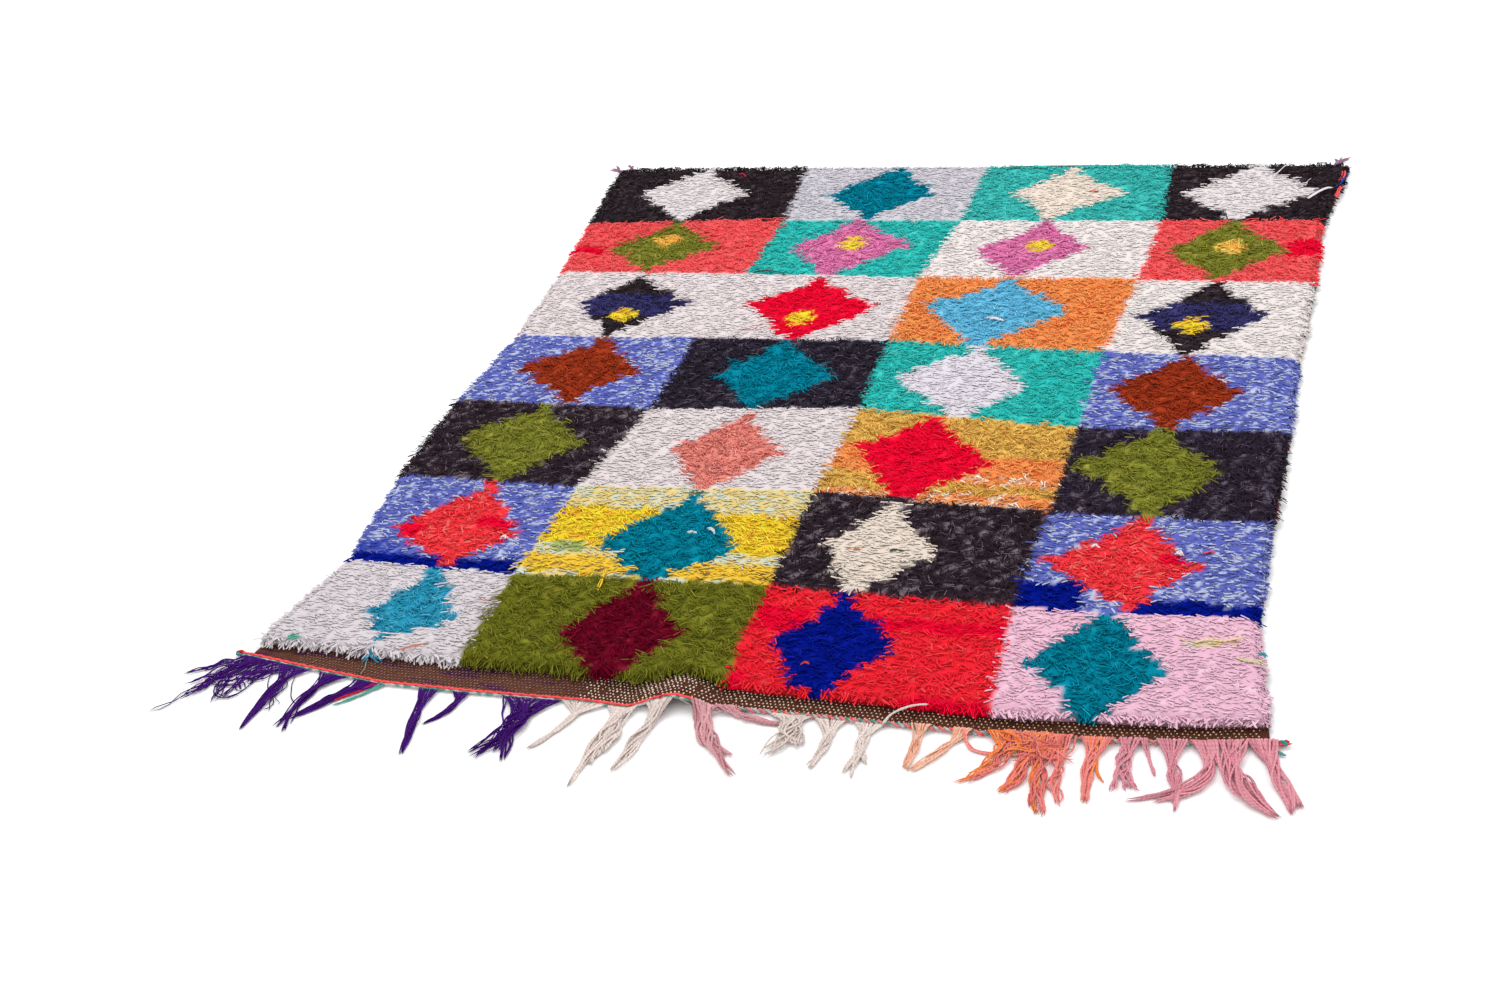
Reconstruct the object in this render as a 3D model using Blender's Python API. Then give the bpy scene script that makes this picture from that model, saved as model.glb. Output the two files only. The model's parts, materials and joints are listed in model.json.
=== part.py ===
"""A boucherouite rug: a hand-knotted shag pile in a four by seven checker of
coloured blocks, on a plain ground cloth that shows as a flat hem at both ends.
The near end is closed by a twined cord, and its warp ends hang out in uneven
tassels. One puckered spot of the near edge stands off the floor.

Units are metres, +Z is up. The rug lies on the floor at z = 0, its length
along Y, its tasselled end at -Y. The origin is under the middle of the pile."""

import bmesh
import bpy
import numpy as np

# Driving sizes
CLOTH_THICKNESS = 0.004
FAR_HEM_WIDTH = 0.012
CORD_RADIUS = 0.004
PIECE_GAP = 0.00035
BACKING_WIDTH = 0.004
STRAND_WIDTH = 0.005
STRAND_HEIGHT = 0.004
STRAND_STEPS = 5

# Grid of the pile slab
COLUMNS = 38
ROWS = 42
RIM_HEIGHT = 0.013
LUMP_HEIGHT = 0.0022
OUTLINE_WOBBLE = 0.003

# Locks of yarn at the rim
LOCK_REACH = 0.017
LOCK_HALF_WIDTH = 0.009

# The pucker at the near edge
PUCKER_X = -0.045
PUCKER_HALF_WIDTH = 0.085
PUCKER_DEPTH = 0.13
PUCKER_HEIGHT = 0.018

# Where the lines between the rows of blocks run, from near to far:
# y of the line, then x at the left edge, the three column lines, the right edge
ROW_LINES = np.array((
    (-0.840, -0.722, -0.389, 0.022, 0.402, 0.766),
    (-0.609, -0.693, -0.396, 0.019, 0.387, 0.731),
    (-0.371, -0.722, -0.389, 0.014, 0.393, 0.725),
    (-0.125, -0.728, -0.351, 0.018, 0.389, 0.723),
    (0.110, -0.716, -0.358, 0.009, 0.394, 0.716),
    (0.360, -0.731, -0.342, 0.004, 0.409, 0.719),
    (0.600, -0.760, -0.337, 0.027, 0.417, 0.707),
    (0.842, -0.790, -0.360, 0.029, 0.400, 0.738),
))

# Height of the yarn in each block in millimetres, rows from near to far,
# columns from left to right
PILE_HEIGHT_MM = np.array((
    (20, 26, 21, 20),
    (19, 22, 25, 19),
    (24, 20, 21, 24),
    (19, 22, 19, 19),
    (18, 18, 22, 18),
    (21, 18, 18, 21),
    (20, 18, 18, 17),
))

# The near end: x, y of the pile's foot, y of the twined cord's centre
NEAR_END = np.array((
    (-0.735, -0.817, -0.844),
    (-0.650, -0.820, -0.857),
    (-0.500, -0.825, -0.877),
    (-0.340, -0.826, -0.878),
    (-0.170, -0.826, -0.870),
    (-0.045, -0.826, -0.868),
    (0.060, -0.828, -0.860),
    (0.230, -0.832, -0.863),
    (0.400, -0.836, -0.865),
    (0.550, -0.828, -0.858),
    (0.680, -0.818, -0.846),
    (0.765, -0.806, -0.832),
))

# Tassels of each stretch of fringe. Columns: x of the first root, spacing of
# the roots, number of strands, x and y of the first tip, x and y from one tip
# to the next, sideways bend of the tassel
TASSELS = {
    "fringe_purple": (
        (-0.742, 0, 1, -0.834, -0.896, 0, 0, 0.006),
        (-0.728, 0, 1, -0.812, -0.926, 0, 0, 0.008),
        (-0.714, 0, 1, -0.8445, -0.988, 0, 0, 0.012),
        (-0.700, 0, 1, -0.750, -0.960, 0, 0, -0.006),
        (-0.686, 0, 1, -0.722, -0.942, 0, 0, 0.004),
        (-0.672, 0.0120, 4, -0.681, -0.998, 0.0065, -0.002, -0.004),
        (-0.606, 0.0135, 4, -0.624, -0.994, 0.0065, 0.001, -0.008),
        (-0.540, 0.0135, 4, -0.590, -0.966, 0.0062, -0.002, 0.003),
        (-0.434, 0.0085, 4, -0.405, -1.014, 0.0062, -0.001, -0.005),
        (-0.374, 0.0085, 3, -0.384, -0.950, 0.0062, 0.001, 0.004),
        (-0.290, 0.0125, 7, -0.288, -1.008, 0.0075, 0.001, -0.004),
    ),
    "fringe_cream_left": (
        (-0.194, 0.0130, 4, -0.224, -0.974, 0.0062, -0.002, 0.004),
        (-0.128, 0.0085, 5, -0.138, -1.032, 0.0065, 0.001, 0.004),
        (-0.072, 0.0090, 4, -0.088, -0.998, 0.0062, 0.001, 0.002),
    ),
    "fringe_pink_middle": (
        (-0.010, 0.0100, 4, 0.064, -0.974, 0.0070, 0.003, -0.010),
    ),
    "fringe_cream_right": (
        (0.108, 0.0110, 5, 0.112, -0.936, 0.0100, 0.002, 0.006),
        (0.176, 0.0110, 3, 0.181, -0.956, 0.0065, 0, -0.002),
        (0.226, 0.0110, 4, 0.232, -0.962, 0.0085, 0.003, 0),
    ),
    "fringe_coral": (
        (0.308, 0.0100, 3, 0.304, -0.940, 0.0062, 0, 0),
        (0.364, 0.0100, 3, 0.330, -0.944, 0.0065, 0.001, -0.003),
        (0.414, 0.0110, 3, 0.384, -0.958, 0.0100, -0.002, 0.004),
        (0.449, 0.0110, 3, 0.440, -0.976, 0.0100, -0.002, -0.003),
        (0.486, 0.0110, 4, 0.492, -1.002, 0.0090, 0.003, 0.002),
        (0.532, 0.0110, 4, 0.547, -0.970, 0.0064, 0, -0.002),
    ),
    "fringe_pink_right": (
        (0.583, 0.0100, 3, 0.590, -0.946, 0.0080, 0.001, 0),
        (0.630, 0.0105, 6, 0.628, -0.962, 0.0080, -0.001, 0.014),
        (0.697, 0.0104, 7, 0.752, -0.962, 0.0085, 0.003, -0.008),
    ),
}

# Tufts at the far corners, in the same columns
CORNER_TUFTS = {
    "corner_tuft_far_left": ((-0.782, 0.0080, 5, -0.836, 0.880, 0.0100, 0.0065, -0.010),),
    "corner_tuft_far_right": ((0.688, 0.0080, 6, 0.692, 0.899, 0.0095, 0.001, 0.002),),
}

COLOURS = {
    "rug_field": (0.46, 0.32, 0.30),
    "edge_twining": (0.62, 0.16, 0.18),
    "fringe_purple": (0.30, 0.22, 0.30),
    "fringe_cream_left": (0.66, 0.60, 0.56),
    "fringe_pink_middle": (0.66, 0.36, 0.42),
    "fringe_cream_right": (0.68, 0.62, 0.58),
    "fringe_coral": (0.72, 0.40, 0.33),
    "fringe_pink_right": (0.70, 0.38, 0.44),
    "corner_tuft_far_left": (0.46, 0.32, 0.40),
    "corner_tuft_far_right": (0.46, 0.32, 0.38),
}


def line_x(line, y):
    """x of an edge (0 or 4) or of a column line (1 to 3) at the length y."""
    return np.interp(y, ROW_LINES[:, 0], ROW_LINES[:, 1 + line])


def pile_foot_y(x):
    return np.interp(x, NEAR_END[:, 0], NEAR_END[:, 1])


def cord_y(x):
    return np.interp(x, NEAR_END[:, 0], NEAR_END[:, 2])


def pucker_lift(x, y):
    """How far the puckered spot of the near edge stands off the floor."""
    across = np.clip(abs(x - PUCKER_X) / PUCKER_HALF_WIDTH, 0, 1)
    inward = np.clip((y - cord_y(x)) / PUCKER_DEPTH, 0, 1)
    fade = 1 - inward * inward * (3 - 2 * inward)
    return PUCKER_HEIGHT * (1 - across ** 2) ** 2 * fade


def make_waves(rng, count, shortest, longest):
    """A soft, uneven relief: wave vectors and phases, one row each."""
    heading = rng.uniform(0, 2 * np.pi, count)
    number = 2 * np.pi / rng.uniform(shortest, longest, count)
    phase = rng.uniform(0, 2 * np.pi, count)
    return np.stack((number * np.cos(heading), number * np.sin(heading), phase), axis=1)


def relief(waves, x, y):
    total = sum(np.sin(kx * x + ky * y + phase) for kx, ky, phase in waves)
    return total / np.sqrt(len(waves))


def block_height(x, y):
    """Height of the yarn in the block that holds the point."""
    row = int(np.clip(np.searchsorted(ROW_LINES[:, 0], y) - 1, 0, 6))
    column = int(sum(x > line_x(line, y) for line in (1, 2, 3)))
    return PILE_HEIGHT_MM[row, column] / 1000


def make_object(name, mesh):
    """One named body with its own material."""
    body = bpy.data.objects.new(name, mesh)
    bpy.context.scene.collection.objects.link(body)
    material = bpy.data.materials.new(name)
    material.use_nodes = True
    shader = material.node_tree.nodes["Principled BSDF"]
    shader.inputs["Base Color"].default_value = (*COLOURS[name], 1)
    shader.inputs["Roughness"].default_value = 0.95
    shader.inputs["Metallic"].default_value = 0
    mesh.materials.append(material)
    return body


def grid_rows(rng):
    """The slab's cross lines from near to far, as (y of each column, kind)."""
    share = np.linspace(0, 1, COLUMNS + 1)
    near = line_x(0, -0.84) + (line_x(4, -0.84) - line_x(0, -0.84)) * share
    foot = pile_foot_y(near)
    far = ROW_LINES[-1, 0] + 0.003 * np.sin(7 * share + 1)
    rows = [(cord_y(near) + CORD_RADIUS + PIECE_GAP, "hem"), (foot - 0.003, "hem")]
    for step in range(ROWS + 1):
        kind = "rim" if step in (0, ROWS) else "pile"
        jitter = 0 if kind == "rim" else rng.uniform(-0.004, 0.004, COLUMNS + 1)
        rows.append((foot + (far - foot) * step / ROWS + jitter, kind))
    rows.append((far + 0.003, "hem"))
    rows.append((far + FAR_HEM_WIDTH, "hem"))
    return rows


def slab_points(rng):
    """Top and bottom points of the slab, row by row."""
    waves = make_waves(rng, 14, 0.07, 0.26)
    top, bottom = [], []
    for y_line, kind in grid_rows(rng):
        wobble = rng.uniform(-OUTLINE_WOBBLE, OUTLINE_WOBBLE, 2) * (kind != "hem")
        top_row, bottom_row = [], []
        for column, y in enumerate(y_line):
            share = column / COLUMNS
            left, right = line_x(0, y) + wobble[0], line_x(4, y) + wobble[1]
            inner = 0 < column < COLUMNS
            sway = rng.uniform(-0.004, 0.004) if inner and kind == "pile" else 0
            x = left + (right - left) * share + sway
            if kind == "hem":
                height = CLOTH_THICKNESS
            elif kind == "rim" or not inner:
                height = RIM_HEIGHT + rng.uniform(-0.0015, 0.0015)
            else:
                lumps = LUMP_HEIGHT * relief(waves, x, y) + rng.uniform(-0.001, 0.001)
                height = block_height(x, y) + lumps
            lift = pucker_lift(x, y)
            top_row.append((x, y, lift + height))
            bottom_row.append((x, y, lift))
        top.append(top_row)
        bottom.append(bottom_row)
    return top, bottom


def grow_lock(bm, face, rng, floor):
    """One lock of yarn out of a face of the rim: narrowed, pulled out, tapered
    and let down towards the floor or the hem below it."""
    bmesh.ops.inset_individual(bm, faces=[face], thickness=0.0015)
    root = face.calc_center_median()
    along = max((edge.verts[1].co - edge.verts[0].co for edge in face.edges), key=lambda d: d.length)
    half = along.length / 2
    along = along.normalized()
    outward = face.normal.copy()
    outward.z = 0
    outward.normalize()
    room = half - LOCK_HALF_WIDTH - 0.002
    shift = along * rng.uniform(-room, room)
    for vert in face.verts:
        side = (vert.co - root).dot(along)
        vert.co += shift - along * (side - np.sign(side) * LOCK_HALF_WIDTH)
    reach = LOCK_REACH * rng.uniform(0.7, 1.1)
    for part, narrow in ((0.55, 0.85), (0.45, 0.5)):
        face = bmesh.ops.extrude_discrete_faces(bm, faces=[face])["faces"][0]
        centre = face.calc_center_median()
        sway = along * rng.uniform(-0.0015, 0.0015)
        for vert in face.verts:
            offset = vert.co - centre
            new = centre + offset * narrow + outward * reach * part + sway
            new.z = max(new.z - 0.0022 * part / 0.5, floor)
            vert.co = new
        lowest = min(vert.co.z for vert in face.verts)
        highest = max(vert.co.z for vert in face.verts)
        for vert in face.verts:
            if highest - vert.co.z > vert.co.z - lowest:
                vert.co.z = lowest
            else:
                vert.co.z = max(highest, lowest + 0.002)


def build_rug_field():
    """Ground cloth and knotted pile in one body: a lumpy slab with flat hems at
    its ends, locks at its rim and a flat underside, but for the pucker."""
    rng = np.random.default_rng(11)
    top_points, bottom_points = slab_points(rng)
    bm = bmesh.new()
    top = [[bm.verts.new(point) for point in row] for row in top_points]
    bottom = [[bm.verts.new(point) for point in row] for row in bottom_points]
    last = len(top) - 1
    underside, rim = [], []
    for row in range(last):
        is_pile = 2 <= row < last - 2
        for column in range(COLUMNS):
            a, b = top[row][column], top[row][column + 1]
            c, d = top[row + 1][column + 1], top[row + 1][column]
            face = bm.faces.new((a, b, c, d))
            if row in (1, last - 2):
                rim.append((face, CLOTH_THICKNESS + 0.001))
            a, b = bottom[row][column], bottom[row][column + 1]
            c, d = bottom[row + 1][column + 1], bottom[row + 1][column]
            underside.append(bm.faces.new((d, c, b, a)))
        for column, turned in ((0, False), (COLUMNS, True)):
            ring = [top[row][column], top[row + 1][column]]
            ring += [bottom[row + 1][column], bottom[row][column]]
            face = bm.faces.new(reversed(ring) if turned else ring)
            if is_pile:
                rim.append((face, 0.0004))
    for column in range(COLUMNS):
        for row, turned in ((0, False), (last, True)):
            ring = [bottom[row][column], bottom[row][column + 1]]
            ring += [top[row][column + 1], top[row][column]]
            bm.faces.new(reversed(ring) if turned else ring)
    bm.normal_update()
    flat = [face for face in underside if max(vert.co.z for vert in face.verts) == 0]
    inner = {edge for face in flat for edge in face.edges}
    bmesh.ops.dissolve_limit(
        bm, angle_limit=0.0005, verts=list({v for face in flat for v in face.verts}), edges=list(inner))
    for face, clearance in rim:
        lift = pucker_lift(face.calc_center_median().x, face.calc_center_median().y)
        grow_lock(bm, face, rng, lift + clearance)
    return finish("rug_field", bm)


def finish(name, bm):
    mesh = bpy.data.meshes.new(name)
    bm.to_mesh(mesh)
    bm.free()
    return make_object(name, mesh)


def close_tube(bm, rings):
    """Faces between the rings of a tube, and a cap on its last ring."""
    for first, second in zip(rings, rings[1:]):
        for corner in range(4):
            after = (corner + 1) % 4
            bm.faces.new((first[corner], first[after], second[after], second[corner]))
    bm.faces.new(rings[-1])


def build_edge_twining():
    """Two thick yarns twined across the warps at the near end: a square tube
    turned an eighth at each station, full and slim in turn, with loose tails."""
    stations = np.arange(-0.778, 0.7901, 0.0065)
    rings = []
    bm = bmesh.new()
    for index, x in enumerate(stations):
        radius = CORD_RADIUS * (1.0 if index % 2 else 0.84)
        overshoot = max(-0.745 - x, x - 0.765, 0)
        y = cord_y(x) - 0.35 * overshoot * (x > 0) + 0.1 * overshoot * (x < 0)
        z = pucker_lift(x, y) + CORD_RADIUS + 0.0002
        ring = []
        for corner in range(4):
            angle = (index / 8 + corner / 4) * 2 * np.pi
            ring.append(bm.verts.new((x, y + radius * np.cos(angle), z + radius * np.sin(angle))))
        rings.append(ring)
    bm.faces.new(reversed(rings[0]))
    close_tube(bm, rings)
    return finish("edge_twining", bm)


def strand_centres(root, tip, root_offset, tip_offset, bend):
    """Centre line of a strand in plan. The strands of a tassel follow one
    middle line, and draw together soon after their roots."""
    share = np.linspace(0, 1, STRAND_STEPS + 1)[:, None]
    gather = 1 - (1 - share) ** 2.5
    start = root - root_offset
    run = tip - tip_offset - start
    side = np.array((-run[1], run[0])) / np.linalg.norm(run)
    bow = bend * np.sin(np.pi * share) + 0.25 * bend * np.sin(2.6 * np.pi * share)
    return start + run * share + side * bow + root_offset * (1 - gather) + tip_offset * gather


def grow_strand(bm, root_ring, centres, lift):
    """A strand of four sides out of the backing's face, let down to lie on the
    floor. Its ring is low left, low right, high right, high left."""
    rings = [root_ring]
    for step in range(1, STRAND_STEPS + 1):
        share = step / STRAND_STEPS
        heading = centres[step] - centres[step - 1]
        heading /= np.linalg.norm(heading)
        across = np.array((-heading[1], heading[0])) * STRAND_WIDTH / 2 * (1 - 0.35 * share)
        low = lift * max(0, 1 - share / 0.6) ** 1.5
        high = low + STRAND_HEIGHT * (1 - 0.3 * share)
        ring = []
        for sign, z in ((-1, low), (1, low), (1, high), (-1, high)):
            point = centres[step] + across * sign
            ring.append(bm.verts.new((point[0], point[1], z)))
        rings.append(ring)
    close_tube(bm, rings)


def strand_plan(tassels):
    """Root, tip, offsets from the tassel's middle line and bend of each strand
    of a stretch, left to right."""
    plan = []
    for first, spacing, count, tip_x, tip_y, tip_dx, tip_dy, bend in tassels:
        for index in range(count):
            tip = np.array((tip_x + index * tip_dx, tip_y + index * tip_dy))
            number = index - (count - 1) / 2
            root_offset = np.array((number * spacing, 0))
            tip_offset = np.array((number * tip_dx, number * tip_dy))
            plan.append((first + index * spacing, tip, root_offset, tip_offset, bend))
    return plan


def build_fringe(name, plan, edge_y, outward):
    """A narrow backing beside the cloth's edge with strands out of it. Each
    strand takes the place of one face of the backing's outer side."""
    reach = STRAND_WIDTH / 2
    breaks = [plan[0][0] - 0.006, plan[-1][0] + 0.006]
    roots = {}
    for number, strand in enumerate(plan):
        breaks += [strand[0] - reach, strand[0] + reach]
        roots[round(strand[0] - reach, 6)] = number
    span = (min(breaks), max(breaks))
    for x in NEAR_END[:, 0]:
        clear = all(abs(x - strand[0]) > reach + 0.001 for strand in plan)
        if outward < 0 and span[0] < x < span[1] and clear:
            breaks.append(x)
    breaks = sorted(set(round(x, 6) for x in breaks))
    bm = bmesh.new()
    rings = []
    for x in breaks:
        inner = edge_y(x) + outward * PIECE_GAP
        outer = inner + outward * BACKING_WIDTH
        low = pucker_lift(x, edge_y(x)) if outward < 0 else 0
        high = low + STRAND_HEIGHT
        corners = ((inner, low), (inner, high), (outer, high), (outer, low))
        rings.append([bm.verts.new((x, y, z)) for y, z in corners])
    for index, (first, second) in enumerate(zip(rings, rings[1:])):
        for corner in range(4):
            after = (corner + 1) % 4
            if corner == 2 and breaks[index] in roots:
                continue
            bm.faces.new((first[corner], first[after], second[after], second[corner]))
    bm.faces.new(rings[0][::-1])
    bm.faces.new(rings[-1])
    for index, (first, second) in enumerate(zip(rings, rings[1:])):
        if breaks[index] not in roots:
            continue
        x, tip, root_offset, tip_offset, bend = plan[roots[breaks[index]]]
        root = np.array((x, first[2].co.y * 0.5 + second[2].co.y * 0.5))
        root_ring = [first[3], second[3], second[2], first[2]]
        if outward > 0:
            root_ring = [second[3], first[3], first[2], second[2]]
        centres = strand_centres(root, tip, root_offset, tip_offset, bend)
        grow_strand(bm, root_ring, centres, first[3].co.z)
    bmesh.ops.recalc_face_normals(bm, faces=bm.faces)
    return finish(name, bm)


def build_near_fringes():
    def edge_y(x):
        return cord_y(x) - CORD_RADIUS
    for name, tassels in TASSELS.items():
        build_fringe(name, strand_plan(tassels), edge_y, -1)


def build_corner_tufts():
    def edge_y(x):
        return ROW_LINES[-1, 0] + FAR_HEM_WIDTH + 0.0035
    for name, tufts in CORNER_TUFTS.items():
        build_fringe(name, strand_plan(tufts), edge_y, 1)


for old in list(bpy.data.objects):
    bpy.data.objects.remove(old, do_unlink=True)
build_rug_field()
build_edge_twining()
build_near_fringes()
build_corner_tufts()
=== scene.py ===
"""Boucherouite rug: a thin ground cloth that carries tens of thousands of yarn
ends, knotted in coloured blocks with a lozenge in each, and a near end with a
plain hem, a twined cord and tassels of many yarns. Metres, +Z up."""
import json
import math
import bpy
import numpy as np
from mathutils import Matrix, Vector


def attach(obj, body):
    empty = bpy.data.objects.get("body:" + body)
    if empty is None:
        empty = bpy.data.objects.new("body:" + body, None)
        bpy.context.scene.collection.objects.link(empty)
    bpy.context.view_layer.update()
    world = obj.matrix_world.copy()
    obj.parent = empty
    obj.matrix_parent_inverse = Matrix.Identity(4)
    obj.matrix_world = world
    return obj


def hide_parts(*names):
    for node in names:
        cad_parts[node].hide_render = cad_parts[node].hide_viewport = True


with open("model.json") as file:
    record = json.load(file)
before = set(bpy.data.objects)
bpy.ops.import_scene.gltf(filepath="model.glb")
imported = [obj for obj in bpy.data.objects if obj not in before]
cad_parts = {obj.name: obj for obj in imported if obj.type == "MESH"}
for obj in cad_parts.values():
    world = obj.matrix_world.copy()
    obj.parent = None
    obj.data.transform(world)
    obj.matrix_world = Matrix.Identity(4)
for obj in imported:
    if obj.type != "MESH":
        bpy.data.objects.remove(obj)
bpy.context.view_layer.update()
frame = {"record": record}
bpy.ops.object.select_all(action="DESELECT")

# Camera
# It stands off the near right corner at the eye height of a standing person,
# looks across the rug to its far left, and is rolled a little.
CAMERA_PLACE = (0.981, -2.750, 1.697)
CAMERA_AZIMUTH = math.radians(24.23)
CAMERA_ELEVATION = math.radians(32.91)
CAMERA_ROLL = math.radians(-10.66)
CAMERA_LENS = 46.76

bpy.ops.object.camera_add(location=CAMERA_PLACE)
camera = bpy.context.object
camera.name = "camera"
camera.data.lens = CAMERA_LENS
back = Vector((
    math.sin(CAMERA_AZIMUTH) * math.cos(CAMERA_ELEVATION),
    -math.cos(CAMERA_AZIMUTH) * math.cos(CAMERA_ELEVATION),
    math.sin(CAMERA_ELEVATION),
))
level = Vector((math.cos(CAMERA_AZIMUTH), math.sin(CAMERA_AZIMUTH), 0))
camera_axes = Matrix((level, back.cross(level), back)).transposed()
camera_axes = camera_axes @ Matrix.Rotation(CAMERA_ROLL, 3, "Z")
camera.rotation_euler = camera_axes.to_euler()
bpy.context.scene.camera = camera
bpy.context.scene.view_settings.view_transform = "Standard"


# Ground cloth
# One plain-woven cloth of brown wool, about 1.47 m by 1.72 m, 3 mm thick. It
# carries the knots, and shows as a flat hem at both ends. Its near edge stands
# off the floor at one puckered spot, and its colours show again on its back.
CLOTH_THICKNESS = 0.003
CLOTH_COLUMNS = 72
HEM_STEPS = 6
FIELD_STEPS = 64
FAR_HEM_WIDTH = 0.012
CORD_RADIUS = 0.004
CORD_GAP = 0.0004
PUCKER_X = -0.036
PUCKER_HALF_WIDTH = 0.072
PUCKER_DEPTH = 0.13
PUCKER_HEIGHT = 0.0165
PUCKER_BULGE = 0.30
HEM_BROWN = (0.150, 0.060, 0.034)
HEM_DARK = (0.108, 0.038, 0.022)
HEM_MAUVE = (0.085, 0.022, 0.080)
FAR_HEM_LIFT = 0.0108

# Lines between the rows of blocks: y of the line, then x at the left edge, at
# the three column lines and at the right edge
ROW_LINES = np.array((
    (-0.840, -0.746, -0.389, 0.022, 0.402, 0.766),
    (-0.609, -0.697, -0.396, 0.019, 0.387, 0.725),
    (-0.371, -0.726, -0.389, 0.014, 0.393, 0.720),
    (-0.125, -0.732, -0.351, 0.018, 0.389, 0.719),
    (0.110, -0.719, -0.358, 0.009, 0.394, 0.712),
    (0.360, -0.733, -0.342, 0.004, 0.409, 0.715),
    (0.600, -0.760, -0.337, 0.027, 0.417, 0.707),
    (0.842, -0.790, -0.360, 0.029, 0.400, 0.738),
))
# The near end: x, y of the pile's foot, y of the twined cord's centre
NEAR_END = np.array((
    (-0.750, -0.815, -0.842),
    (-0.650, -0.820, -0.857),
    (-0.500, -0.825, -0.877),
    (-0.340, -0.826, -0.878),
    (-0.170, -0.826, -0.875),
    (-0.105, -0.830, -0.879),
    (-0.036, -0.813, -0.864),
    (0.020, -0.824, -0.869),
    (0.060, -0.828, -0.862),
    (0.230, -0.832, -0.863),
    (0.400, -0.836, -0.865),
    (0.550, -0.828, -0.858),
    (0.680, -0.818, -0.846),
    (0.765, -0.806, -0.832),
))


def line_x(line, y):
    """x of an edge (0 or 4) or of a column line (1 to 3) at the length y."""
    return np.interp(y, ROW_LINES[:, 0], ROW_LINES[:, 1 + line])


def pile_foot_y(x):
    return np.interp(x, NEAR_END[:, 0], NEAR_END[:, 1])


def cord_y(x):
    return np.interp(x, NEAR_END[:, 0], NEAR_END[:, 2])


def pucker_lift(x, y):
    """How far the puckered spot of the near edge stands off the floor."""
    across = np.clip(abs(x - PUCKER_X) / PUCKER_HALF_WIDTH, 0, 1)
    inward = np.clip((y - cord_y(x)) / PUCKER_DEPTH, 0, 1)
    fade = 1 - inward * inward * (3 - 2 * inward)
    bulge = 1 + PUCKER_BULGE * np.sin(np.pi * np.clip(inward / 0.5, 0, 1))
    return PUCKER_HEIGHT * (1 - across ** 2) ** 2 * fade * bulge


def hem_waves(x):
    """Small ups and downs of the near hem, which isn't stretched flat."""
    return 0.0007 * (1 + np.sin(x * 95 + 3 * np.sin(x * 21)))


def finish_piece(piece, slot_name, *nodes):
    """The piece rides with the rug and stands for nodes; its slot name is not used."""
    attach(piece, "root")
    if nodes:
        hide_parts(*nodes)


def start_material(name, roughness, sheen, specular):
    material = bpy.data.materials.new(name)
    material.use_nodes = True
    shader = material.node_tree.nodes["Principled BSDF"]
    shader.inputs["Roughness"].default_value = roughness
    shader.inputs["Sheen Weight"].default_value = sheen
    shader.inputs["Sheen Roughness"].default_value = 0.5
    shader.inputs["Specular IOR Level"].default_value = specular
    return material, material.node_tree, shader


def add_node(tree, kind, settings=(), **inputs):
    """A node with its settings and the values or links of its inputs."""
    node = tree.nodes.new(kind)
    for name, value in dict(settings).items():
        setattr(node, name, value)
    for name, value in inputs.items():
        socket = node.inputs[int(name[1:])] if name[0] == "i" and name[1:].isdigit() else node.inputs[name]
        if isinstance(value, bpy.types.NodeSocket):
            tree.links.new(value, socket)
        else:
            socket.default_value = value
    return node


def mix_colours(tree, share, first, second, blend="MIX"):
    """A colour mixed from two by a share, each a value or a link."""
    node = tree.nodes.new("ShaderNodeMix")
    node.data_type = "RGBA"
    node.blend_type = blend
    for index, value in ((0, share), (6, first), (7, second)):
        if isinstance(value, bpy.types.NodeSocket):
            tree.links.new(value, node.inputs[index])
        else:
            node.inputs[index].default_value = (*value, 1) if isinstance(value, tuple) else value
    return node.outputs[2]


def scaled_place(tree, scale):
    """Object coordinates, stretched by a scale for each axis."""
    place = add_node(tree, "ShaderNodeTexCoord").outputs["Object"]
    mapping = add_node(tree, "ShaderNodeMapping", Vector=place, Scale=scale)
    return mapping.outputs["Vector"]


def add_bump(tree, shader, height, strength, distance):
    bump = add_node(tree, "ShaderNodeBump", Height=height, Strength=strength, Distance=distance)
    tree.links.new(bump.outputs["Normal"], shader.inputs["Normal"])


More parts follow.
